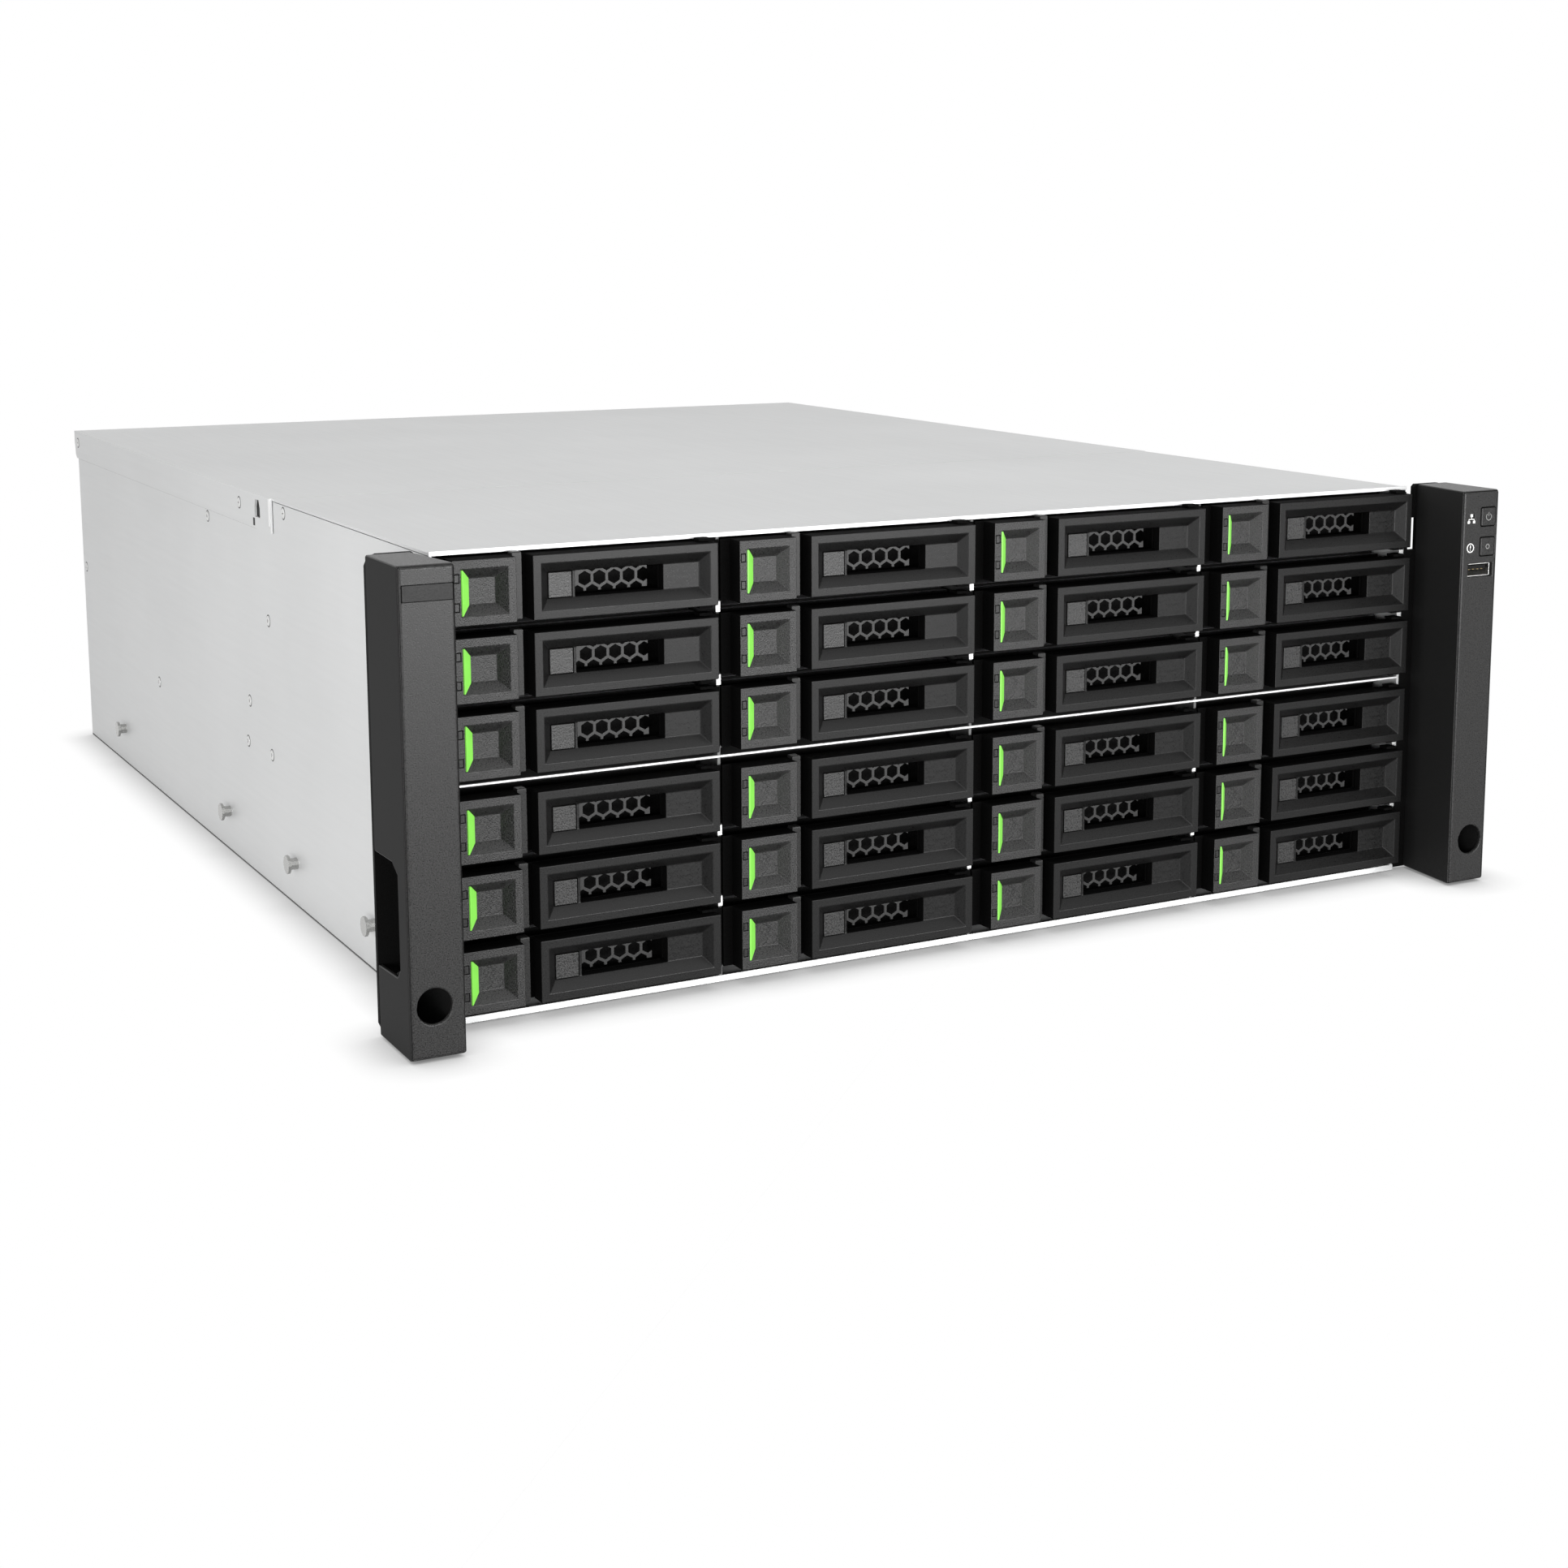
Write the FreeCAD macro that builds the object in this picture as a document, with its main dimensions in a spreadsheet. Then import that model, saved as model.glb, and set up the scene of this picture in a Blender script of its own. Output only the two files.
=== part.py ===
"""Disk shelf enclosure: a 4U rack chassis with 24 drive carriers in four columns of six.

Frame: origin on the front face of the rack flanges, midway between the ears, at the chassis
underside. +X is right, +Y is back, +Z is up. Lengths are millimetres.
"""
import FreeCAD
import Part

import os
from math import cos, pi, sin, sqrt

from FreeCAD import Vector
import Sketcher

DRIVING_SIZES = {
    # chassis
    "chassis_width": 438.0,
    "chassis_depth": 570.0,
    "wall_height": 167.7,
    "wall": 1.2,
    "floor_plate": 1.2,
    "cover_under": 168.0,
    "cover_top": 169.0,
    "cover_seam": 189.5,
    "hem": 0.6,
    "floor_hem_tall": 2.3,
    "cover_hem_low": 167.9,
    "cover_hem_high": 169.4,
    "cover_flange_low": 154.5,
    "cover_gap": 0.3,
    "seam_gap": 0.4,
    "rear_overhang": 1.5,
    "inner_flange_front": 172.0,
    "inner_flange_low": 150.0,
    "keyhole_from_seam": 15.0,
    "keyhole_wide": 8.0,
    "keyhole_up": 5.0,
    "keyhole_tall": 7.4,
    # bays
    "bay_pitch": 109.2,
    "row_pitch": 27.15,
    "lower_rows": 6.1,
    "upper_rows": 90.0,
    "shelf_low": 85.6,
    "shelf_thick": 1.0,
    "bay_depth": 168.0,
    "divider": 1.2,
    "runner_reach": 1.5,
    "runner_drop": 0.9,
    "runner_thick": 1.2,
    "plate_gap": 0.3,
    "slide_slack": 0.4,
    # backplane
    "board_behind": 3.0,
    "board_thick": 1.6,
    "board_low": 4.0,
    "board_high": 164.0,
    "board_margin": 2.0,
    "air_slot_long": 184.0,
    "air_slot_low": 9.0,
    "air_slot_tall": 7.0,
    "socket_wide": 42.0,
    "socket_low": 1.0,
    "socket_tall": 5.0,
    "socket_gap": 0.6,
    # carrier, measured from the bay's middle and the row's lower edge
    "bezel_front": 10.0,
    "bezel_back": 1.8,
    "bezel_tall": 22.8,
    "block_left": 50.4,
    "block_right": 27.1,
    "block_rim_right": 2.9,
    "post_right": 23.6,
    "post_behind": 4.0,
    "post_over": 1.2,
    "light_thick": 0.9,
    "lever_left": 21.0,
    "lever_right": 50.2,
    "lever_back": 2.6,
    "relief_long": 3.5,
    "relief_in": 2.7,
    "window_left": -3.9,
    "window_right": 30.0,
    "tray_front": 0.9,
    "rim": 3.1,
    "recess_deep": 3.7,
    "drive_wide": 101.6,
    "drive_long": 147.0,
    "drive_tall": 26.1,
    "drive_front": 11.0,
    "drive_sink": 2.85,
    "drive_gap": 0.2,
    "rail_long": 160.0,
    "rail_foot": 0.6,
    "rail_tall": 13.0,
    "hinge_in": 3.3,
    "hinge_behind": 5.7,
    "pin_radius": 1.0,
    "pin_hole": 1.35,
    "hinge_ear_half": 2.6,
    "hinge_ear_up": 1.3,
    "hinge_lug": 1.0,
    "button_wide": 8.8,
    "button_tall": 9.0,
    "button_from_floor": 4.5,
    "button_slack": 0.3,
    "button_proud": 0.4,
    "button_thick": 2.2,
    "hex_pitch": 5.66,
    "hex_flats": 4.5,
    "hex_first": 2.0,
    "hex_up": 12.1,
    "grille_left": -6.5,
    "grille_high": 17.8,
    "grille_thick": 0.8,
    "grille_margin": 3.0,
    # rack ears
    "ear_outer": 241.3,
    "ear_inner": 221.3,
    "ear_inner_back": 225.6,
    "ear_low": 0.9,
    "ear_high": 169.9,
    "ear_depth": 33.0,
    "ear_shell": 1.8,
    "ear_chamfer": 0.8,
    "flange_thick": 2.0,
    "flange_corner": 4.0,
    "flange_bevel": 1.2,
    "flange_tab": 223.6,
    "notch_up": 159.1,
    "slot_low": 141.6,
    "slot_high": 155.5,
    "slot_outer": 225.8,
    "bracket_gap": 0.2,
    "leg_thick": 1.8,
    "leg_low": 8.0,
    "leg_high": 155.0,
    "leg_long": 48.0,
    "lip_inner": 228.2,
    "lip_thick": 1.4,
    "lip_low": 34.0,
    "lip_high": 120.0,
    "lip_reach": 6.0,
    "grip_low": 26.4,
    "grip_high": 67.2,
    "grip_deep": 24.0,
    "rack_hole_half": 232.55,
    "rack_hole_up": 19.4,
    "rack_hole_radius": 3.5,
    "access_radius": 6.3,
    # front controls
    "control_middle": 235.4,
    "power_up": 158.7,
    "locate_up": 146.1,
    "key_side": 7.6,
    "key_proud": 0.4,
    "key_thick": 3.4,
    "stem_side": 3.0,
    "stem_end": 23.7,
    "opening_slack": 0.3,
    "usb_left": 225.4,
    "usb_wide": 13.2,
    "usb_low": 133.5,
    "usb_tall": 5.5,
    "usb_wall": 0.4,
    "usb_slack": 0.2,
    "pipe_left": 226.0,
    "pipe_side": 1.8,
    "controls_front": 20.0,
    "controls_thick": 1.6,
    "controls_right": 239.0,
    "controls_low": 126.0,
    "controls_high": 166.0,
    "switch_side": 6.0,
    "switch_thick": 2.2,
    "stud_up": 18.8,
    "stud_neck_radius": 2.4,
    "stud_neck": 3.4,
    "stud_head_radius": 3.9,
    "stud_head": 1.2,
    # rear modules
    "module_proud": 0.5,
    "module_slack": 0.6,
    "lower_canister": 3.2,
    "upper_canister": 72.4,
    "supply_middle": 164.0,
    "supply_low": 8.0,
    "fan_middle": 164.0,
    "fan_up": 108.0,
    "guide_front": 300.0,
    "guide_thick": 1.2,
    "canister_half": 113.8,
    "canister_tall": 66.0,
    "canister_long": 240.0,
    "supply_wide": 86.0,
    "supply_tall": 40.0,
    "supply_long": 200.0,
    "fan_side": 92.0,
    "fan_deep": 45.0,
    "fan_bore": 42.0,
    "port_wide": 19.0,
    "port_tall": 9.0,
    "port_pitch": 30.0,
    "port_first": -60.0,
    "port_up": 14.0,
    "port_deep": 14.0,
    "service_left": 66.0,
    "service_wide": 16.0,
    "service_up": 13.0,
    "service_tall": 13.0,
    "pivot_in": 12.0,
    "pivot_behind": 4.7,
    "arm_up": 48.0,
    "arm_tall": 12.0,
    "arm_thick": 3.0,
    "arm_pin_radius": 1.4,
    "arm_hole_radius": 1.8,
    "inlet_left": 10.0,
    "inlet_wide": 27.4,
    "inlet_up": 9.0,
    "inlet_tall": 20.0,
    "inlet_deep": 16.0,
    "vent_deep": 5.0,
    "handle_left": -4.0,
    "handle_wide": 42.0,
    "handle_up": 31.5,
    "handle_bar": 5.0,
    "handle_reach": 22.0,
    "latch_left": -22.0,
    "latch_up": 34.6,
    "latch_thick": 2.4,
    "shaft_radius": 1.9,
    "shaft_long": 20.0,
    "shaft_bore": 2.4,
    "hub_radius": 17.0,
    "blade_radius": 39.5,
    "rotor_long": 26.0,
}

doc = FreeCAD.newDocument("disk_shelf")
sheet = doc.addObject("Spreadsheet::Sheet", "dims")
for row, (alias, number) in enumerate(DRIVING_SIZES.items(), 1):
    sheet.set(f"A{row}", alias)
    sheet.set(f"B{row}", str(number))
    sheet.setAlias(f"B{row}", alias)
doc.recompute()


class Size:
    """A length, as a number and as the sheet expression that gives it."""

    def __init__(self, number, text=None):
        self.number = float(number)
        self.text = text or f"({self.number:.6f})"

    def joined(self, other, sign, number):
        return Size(number, f"({self.text} {sign} {as_size(other).text})")

    def __float__(self):
        return self.number

    def __add__(self, other):
        return self.joined(other, "+", self.number + float(other))

    def __sub__(self, other):
        return self.joined(other, "-", self.number - float(other))

    def __mul__(self, other):
        return self.joined(other, "*", self.number * float(other))

    def __truediv__(self, other):
        return self.joined(other, "/", self.number / float(other))

    def __neg__(self):
        return Size(-self.number, f"(0 - {self.text})")

    def __radd__(self, other):
        return as_size(other) + self

    def __rsub__(self, other):
        return as_size(other) - self

    def __rmul__(self, other):
        return as_size(other) * self


def as_size(value):
    return value if isinstance(value, Size) else Size(value)


def cell(alias):
    return Size(sheet.get(alias), f"dims.{alias}")


sub_parts = []


def keep(shape, name):
    """Marks an object as a finished sub-part, written to its own file."""
    shape.Label = name
    sub_parts.append(shape)
    return shape


def bind(item, prop, value):
    item.setExpression(prop, as_size(value).text)


def bind_place(item, place):
    for axis, value in zip("xyz", place):
        bind(item, f"Placement.Base.{axis}", value)


# ---------------------------------------------------------------- primitives and booleans

def box(name, low, high):
    item = doc.addObject("Part::Box", name)
    for prop, start, end in zip(("Length", "Width", "Height"), low, high):
        bind(item, prop, as_size(end) - start)
    bind_place(item, low)
    return item


def pin(name, radius, place, low, high):
    """A round upright pin."""
    item = doc.addObject("Part::Cylinder", name)
    bind(item, "Radius", radius)
    bind(item, "Height", as_size(high) - low)
    bind_place(item, (*place, low))
    return item


def funnel(name, front, back, mouth, throat):
    """A tapered block along Y: mouth and throat are (x low, x high, z low, z high)."""
    item = doc.addObject("Part::Wedge", name)
    sizes = {"Ymin": front, "Ymax": back}
    sizes.update(zip(("Xmin", "Xmax", "Zmin", "Zmax"), mouth))
    sizes.update(zip(("X2min", "X2max", "Z2min", "Z2max"), throat))
    for prop, value in sizes.items():
        setattr(item, prop, float(value))
    for prop, value in sizes.items():
        bind(item, prop, value)
    return item


def fuse(name, *pieces):
    item = doc.addObject("Part::MultiFuse", name)
    item.Shapes = list(pieces)
    item.Refine = True
    return item


def group(name, *pieces):
    item = doc.addObject("Part::Compound", name)
    item.Links = list(pieces)
    return item


def cut(name, base, *tools):
    item = doc.addObject("Part::Cut", name)
    item.Base = base
    item.Tool = tools[0] if len(tools) == 1 else fuse(name + "_tools", *tools)
    return item


def placed(name, source, place):
    """The same shape at another place."""
    item = group(name, source)
    bind_place(item, place)
    return item


def mirrored(name, source):
    """The shape's mirror image across the chassis middle."""
    item = doc.addObject("Part::Mirroring", name)
    item.Source = source
    item.Normal = Vector(1, 0, 0)
    return item


# ---------------------------------------------------------------- sketched features

def origin_plane(body, role):
    return next(f for f in body.Origin.OriginFeatures if f.Role == role)


def new_body(name):
    return doc.addObject("PartDesign::Body", name)


def new_sketch(body, name, role, offset=0.0):
    """A sketch on one of the body's own planes, moved along the plane's normal."""
    sketch = body.newObject("Sketcher::SketchObject", name)
    sketch.AttachmentSupport = (origin_plane(body, role), [""])
    sketch.MapMode = "FlatFace"
    bind(sketch, "AttachmentOffset.Base.z", offset)
    return sketch


def outline(sketch, corners):
    """A closed polygon whose corners are held to the sheet."""
    points = [Vector(float(u), float(v), 0) for u, v in corners]
    first = len(sketch.Geometry)
    count = len(points)
    for i in range(count):
        sketch.addGeometry(Part.LineSegment(points[i], points[(i + 1) % count]), False)
    for i in range(count):
        after = first + (i + 1) % count
        sketch.addConstraint(Sketcher.Constraint("Coincident", first + i, 2, after, 1))
    for i, (u, v) in enumerate(corners):
        for kind, value in (("DistanceX", u), ("DistanceY", v)):
            number = float(value)
            at = sketch.addConstraint(Sketcher.Constraint(kind, -1, 1, first + i, 1, number))
            if isinstance(value, Size):
                sketch.setExpression(f"Constraints[{at}]", value.text)


def rectangle(sketch, left, right, low, high):
    outline(sketch, [(left, low), (right, low), (right, high), (left, high)])


def circle(sketch, u, v, radius):
    middle = Vector(float(u), float(v), 0)
    at = sketch.addGeometry(Part.Circle(middle, Vector(0, 0, 1), float(radius)), False)
    for kind, value in (("DistanceX", u), ("DistanceY", v)):
        held = sketch.addConstraint(Sketcher.Constraint(kind, -1, 1, at, 3, float(value)))
        if isinstance(value, Size):
            sketch.setExpression(f"Constraints[{held}]", value.text)
    held = sketch.addConstraint(Sketcher.Constraint("Radius", at, float(radius)))
    if isinstance(radius, Size):
        sketch.setExpression(f"Constraints[{held}]", radius.text)


def pad(body, sketch, length, reverse=False):
    feature = body.newObject("PartDesign::Pad", sketch.Name + "_pad")
    feature.Profile = sketch
    feature.Reversed = reverse
    bind(feature, "Length", length)
    sketch.Visibility = False
    return feature


def pocket(body, sketch, length=None, reverse=False):
    """A pocket that must remove material; without a length it goes right through."""
    doc.recompute()
    before = body.Shape.Volume
    feature = body.newObject("PartDesign::Pocket", sketch.Name + "_pocket")
    feature.Profile = sketch
    feature.Reversed = reverse
    if length is None:
        feature.Type = "ThroughAll"
        feature.Midplane = True
    else:
        bind(feature, "Length", length)
    doc.recompute()
    if body.Shape.Volume > before - 0.01:
        raise ValueError(f"{sketch.Name} removes nothing")
    return feature


def round_corners(u, v, radius, count):
    """Corners of a regular polygon that stands for a large bore."""
    turns = [2 * pi * number / count for number in range(count)]
    return [(u + radius * cos(turn), v + radius * sin(turn)) for turn in turns]


def pointed_hexagon(u, v, flats):
    """Corners of a hexagon with upright sides and a point at top and bottom."""
    half = flats / 2.0
    tip = flats / sqrt(3)
    return [
        (u - half, v - tip / 2.0),
        (u, v - tip),
        (u + half, v - tip / 2.0),
        (u + half, v + tip / 2.0),
        (u, v + tip),
        (u - half, v + tip / 2.0),
    ]


# ---------------------------------------------------------------- shared places

half_chassis = cell("chassis_width") / 2
inner_wall = half_chassis - cell("wall")
pitch = cell("bay_pitch")
half_bay = pitch / 2 - cell("divider") / 2
COLUMNS = (-1.5, -0.5, 0.5, 1.5)
ROWS = (1, 2, 3, 4, 5, 6)


def column_middle(column):
    return pitch * COLUMNS[column - 1]


def row_low(row):
    """Lower edge of a row's bezels. Row 1 is at the top."""
    if row <= 3:
        return cell("upper_rows") + cell("row_pitch") * (3 - row)
    return cell("lower_rows") + cell("row_pitch") * (6 - row)


# ---------------------------------------------------------------- chassis sheet metal

def make_chassis_pan():
    """One bent sheet: floor and two walls, with a closed hem on the front edge of the floor."""
    body = new_body("chassis_pan_body")
    high = cell("wall_height")
    profile = new_sketch(body, "pan_profile", "XZ_Plane")
    outline(profile, [
        (-half_chassis, 0),
        (half_chassis, 0),
        (half_chassis, high),
        (inner_wall, high),
        (inner_wall, cell("floor_plate")),
        (-inner_wall, cell("floor_plate")),
        (-inner_wall, high),
        (-half_chassis, high),
    ])
    pad(body, profile, cell("chassis_depth"), reverse=True)
    hem = new_sketch(body, "pan_hem", "XZ_Plane")
    rectangle(hem, -half_chassis, half_chassis, 0, cell("floor_hem_tall"))
    pad(body, hem, cell("hem"))
    keep(body, "chassis_pan")


def make_front_top_cover():
    """The fixed cover: a hem on the front edge and two flanges that hang inside the walls."""
    under, top = cell("cover_under"), cell("cover_top")
    seam = cell("cover_seam")
    plate = box("front_cover_plate", (-half_chassis, 0, under), (half_chassis, seam, top))
    hem = box(
        "front_cover_hem",
        (-half_chassis, -cell("hem"), cell("cover_hem_low")),
        (half_chassis, cell("hem"), cell("cover_hem_high")),
    )
    flange = box(
        "front_cover_flange",
        (inner_wall - (top - under), cell("inner_flange_front"), cell("inner_flange_low")),
        (inner_wall, seam, under),
    )
    other_flange = mirrored("front_cover_other", flange)
    keep(fuse("front_cover", plate, hem, flange, other_flange), "front_top_cover")


def make_rear_top_cover():
    """The sliding cover: side flanges outside the walls, with an arched keyhole near the seam."""
    under, top = cell("cover_under"), cell("cover_top")
    sheet_thick = top - under
    seam = cell("cover_seam") + cell("seam_gap")
    end = cell("chassis_depth") + cell("rear_overhang")
    inner = half_chassis + cell("cover_gap")
    outer = inner + sheet_thick
    low = cell("cover_flange_low")
    plate = box("rear_cover_plate", (-outer, seam, under), (outer, end, top))
    body = new_body("rear_cover_flange_body")
    side = new_sketch(body, "rear_cover_flange", "YZ_Plane", inner)
    outline(side, [
        (seam, low),
        (end - 4, low),
        (end - 1.5, low + 2),
        (end - 1.2, low + 5),
        (end, low + 8),
        (end, under),
        (seam, under),
    ])
    pad(body, side, sheet_thick)
    slot_front = seam + cell("keyhole_from_seam")
    slot_rear = slot_front + cell("keyhole_wide")
    slot_low = low + cell("keyhole_up")
    slot_high = slot_low + cell("keyhole_tall")
    shoulder, spring = cell("keyhole_wide") / 5, slot_high - cell("keyhole_wide") * 0.425
    arch = new_sketch(body, "keyhole", "YZ_Plane", inner)
    outline(arch, [
        (slot_front, slot_low),
        (slot_rear, slot_low),
        (slot_rear, spring),
        (slot_rear - shoulder, slot_high),
        (slot_front + shoulder, slot_high),
        (slot_front, spring),
    ])
    pocket(body, arch)
    keep(fuse("rear_cover", plate, body, mirrored("rear_cover_other", body)), "rear_top_cover")


def make_mid_shelf():
    """The plate between the third and fourth rows."""
    low = cell("shelf_low")
    high = low + cell("shelf_thick")
    keep(box("mid_shelf_plate", (-inner_wall, 0, low), (inner_wall, cell("bay_depth"), high)), "mid_shelf")


def divider_profile(body, name, rows, low, high):
    """A bay divider seen from the front: a thin wall with a runner rib each side for every row."""
    half, thick = cell("divider") / 2, cell("runner_thick")
    rib = half + cell("runner_reach")
    right = [(half, low)]
    for row in rows:
        foot = row_low(row) - cell("runner_drop")
        right += [(half, foot), (rib, foot + thick), (half, foot + thick)]
    right.append((half, high))
    left = [(-u, v) for u, v in reversed(right)]
    sketch = new_sketch(body, name, "XZ_Plane")
    outline(sketch, right + left)
    return sketch


def make_drive_cage():
    """Three dividers in each tier, and the runners riveted to the chassis walls."""
    depth = cell("bay_depth")
    shelf_low, shelf_high = cell("shelf_low"), cell("shelf_low") + cell("shelf_thick")
    tiers = {
        "lower": ((6, 5, 4), cell("floor_plate"), shelf_low),
        "upper": ((3, 2, 1), shelf_high, cell("wall_height")),
    }
    pieces = []
    for tier, (rows, low, high) in tiers.items():
        body = new_body(f"{tier}_divider_body")
        pad(body, divider_profile(body, f"{tier}_divider", rows, low, high), depth, reverse=True)
        for number in (-1, 0, 1):
            pieces.append(placed(f"{tier}_divider_{number + 2}", body, (pitch * number, 0, 0)))
    reach = inner_wall - cell("runner_reach")
    for row in ROWS:
        foot = row_low(row) - cell("runner_drop")
        head = foot + cell("runner_thick")
        runner = box(f"wall_runner_{row}", (reach, 0, foot), (inner_wall, depth, head))
        pieces += [runner, mirrored(f"wall_runner_other_{row}", runner)]
    keep(group("drive_cage_pieces", *pieces), "drive_cage")


def make_backplane():
    """The board behind the drives, with air slots and a plug connector for each drive."""
    body = new_body("backplane_body")
    front = cell("bay_depth") + cell("board_behind")
    half = inner_wall - cell("board_margin")
    board = new_sketch(body, "backplane_board", "XZ_Plane", -front)
    rectangle(board, -half, half, cell("board_low"), cell("board_high"))
    pad(body, board, cell("board_thick"), reverse=True)
    slots = new_sketch(body, "backplane_slots", "XZ_Plane", -front)
    half_slot = cell("air_slot_long") / 2
    for side in (-1, 1):
        for row in (6, 5, 3, 2):
            middle = pitch * side
            low = row_low(row) + cell("row_pitch") - cell("air_slot_low")
            rectangle(slots, middle - half_slot, middle + half_slot, low, low + cell("air_slot_tall"))
    pocket(body, slots)
    pieces = [body]
    wide, tall = cell("socket_wide"), cell("socket_tall")
    socket_front = cell("rail_long") + cell("socket_gap")
    for column in (1, 2, 3, 4):
        for row in ROWS:
            left, low = column_middle(column) - wide / 2, row_low(row) + cell("socket_low")
            pieces.append(box(
                f"drive_connector_{column}_{row}",
                (left, socket_front, low),
                (left + wide, front, low + tall),
            ))
    keep(group("backplane_pieces", *pieces), "backplane")


# ---------------------------------------------------------------- drive carriers

def hinge_place():
    """Where the lever's upright hinge pin stands, in the carrier's own frame."""
    return cell("lever_right") - cell("hinge_in"), cell("hinge_behind") - cell("bezel_front")


def tray_side(name):
    """The tray's two side rails, which ride on the runners."""
    start, end = cell("drive_wide") / 2 + cell("drive_gap"), half_bay - cell("slide_slack")
    front, back = -cell("tray_front"), cell("rail_long")
    rail = box(name + "_rail", (start, front, cell("rail_foot")), (end, back, cell("rail_tall")))
    return rail, mirrored(name + "_rail_other", rail)


def vent_window():
    """The window in the lever and in the plate behind it: left, right, low, high."""
    floor = cell("rim") + cell("recess_deep")
    return cell("window_left"), cell("window_right"), floor, cell("bezel_tall") - floor


def tray_plate(name, corners):
    """The tray's front plate, wide enough to hide the dividers' edges, with its vent opening."""
    body = new_body(name + "_body")
    back = cell("tray_front")
    plate = new_sketch(body, name, "XZ_Plane", back)
    outline(plate, corners)
    rectangle(plate, *vent_window())
    pad(body, plate, cell("bezel_back") - back)
    return body


def plain_tray():
    """The tray of a carrier whose lever is joined to it."""
    half, tall = pitch / 2 - cell("plate_gap"), cell("bezel_tall")
    plate = tray_plate("plain_plate", [(-half, 0), (half, 0), (half, tall), (-half, tall)])
    return (plate, *tray_side("plain"))


def hinged_tray():
    """The tray with hinge ears, lugs and the pin that its loose lever turns on."""
    half, tall = pitch / 2 - cell("plate_gap"), cell("bezel_tall")
    hinge_x, hinge_y = hinge_place()
    ear_up, thick = cell("hinge_ear_up"), cell("hinge_lug")
    ear_left, ear_right = hinge_x - cell("hinge_ear_half"), hinge_x + cell("hinge_ear_half")
    plate = tray_plate("hinged_plate", [
        (-half, 0), (ear_left, 0), (ear_left, -ear_up), (ear_right, -ear_up), (ear_right, 0), (half, 0),
        (half, tall), (ear_right, tall), (ear_right, tall + ear_up), (ear_left, tall + ear_up),
        (ear_left, tall), (-half, tall),
    ])
    front, back = hinge_y - cell("pin_radius") * 2, -cell("bezel_back")
    lugs = [
        box(f"hinge_lug_{where}", (ear_left, front, low), (ear_right, back, low + thick))
        for where, low in (("top", tall + ear_up - thick), ("bottom", -ear_up))
    ]
    hinge = pin("hinge_pin", cell("pin_radius"), (hinge_x, hinge_y), -ear_up, tall + ear_up)
    return fuse("hinged_tray", plate, *tray_side("hinged"), *lugs, hinge)


def status_block():
    """The fixed block at the left of the bezel: a bevelled square recess and a taller post."""
    front, back = -cell("bezel_front"), -cell("bezel_back")
    left, right = -cell("block_left"), -cell("block_right")
    tall, rim, deep = cell("bezel_tall"), cell("rim"), cell("recess_deep")
    solid = box("block_solid", (left, front, 0), (right, back, tall))
    post = box(
        "block_post",
        (right, front + cell("post_behind"), 0),
        (-cell("post_right"), back, tall + cell("post_over")),
    )
    inner = right - cell("block_rim_right")
    mouth = (left + rim, inner, rim, tall - rim)
    throat = (left + rim + deep, inner - deep, rim + deep, tall - rim - deep)
    recess = funnel("block_recess", front, front + deep, mouth, throat)
    return cut("block", fuse("block_and_post", solid, post), recess)


def light_bar():
    """The lit strip that covers the whole left bevel of the block's recess."""
    front, thick = -cell("bezel_front"), cell("light_thick")
    left, tall = -cell("block_left") + cell("rim"), cell("bezel_tall")
    rim, deep = cell("rim"), cell("recess_deep")
    mouth = (left, left + thick, rim, tall - rim)
    throat = (left + deep, left + deep + thick, rim + deep, tall - rim - deep)
    return funnel("light_bar", front, front + deep, mouth, throat)


def vent_grille():
    """The honeycomb vent: a row of full cells, and a lower row cut open by the sheet's edge."""
    flats, step = cell("hex_flats"), cell("hex_pitch")
    first_u, upper_v, cells = cell("hex_first"), cell("hex_up"), 4
    lower_v = upper_v - step * (sqrt(3) / 2)
    half, tip = flats / 2, flats / sqrt(3)
    web = (step - flats) / 2
    edge = lower_v + tip / 2 - web
    left, high = cell("grille_left"), cell("grille_high")
    right = first_u + step * (cells - 0.5) + cell("grille_margin")
    lower_u = first_u - step / 2
    corners = [(right, edge), (right, high), (left, high), (left, edge), (lower_u - half, edge)]
    for number in range(cells):
        u = lower_u + step * number
        tooth = half if number == cells - 1 else step / 2
        corners += [(u, lower_v + tip), (u + tooth, edge)]
    body = new_body("vent_grille_body")
    sheet_outline = new_sketch(body, "vent_sheet", "XZ_Plane", cell("tray_front"))
    outline(sheet_outline, corners)
    for number in range(cells):
        outline(sheet_outline, pointed_hexagon(first_u + step * number, upper_v, flats))
    pad(body, sheet_outline, cell("grille_thick"), reverse=True)
    return body


def hard_drive():
    """A 3.5 inch drive: a box with its rear connector."""
    half, sink = cell("drive_wide") / 2, cell("drive_sink")
    start, end = cell("drive_front"), cell("drive_front") + cell("drive_long")
    return box("drive_case", (-half, start, -sink), (half, end, cell("drive_tall") - sink))


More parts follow.
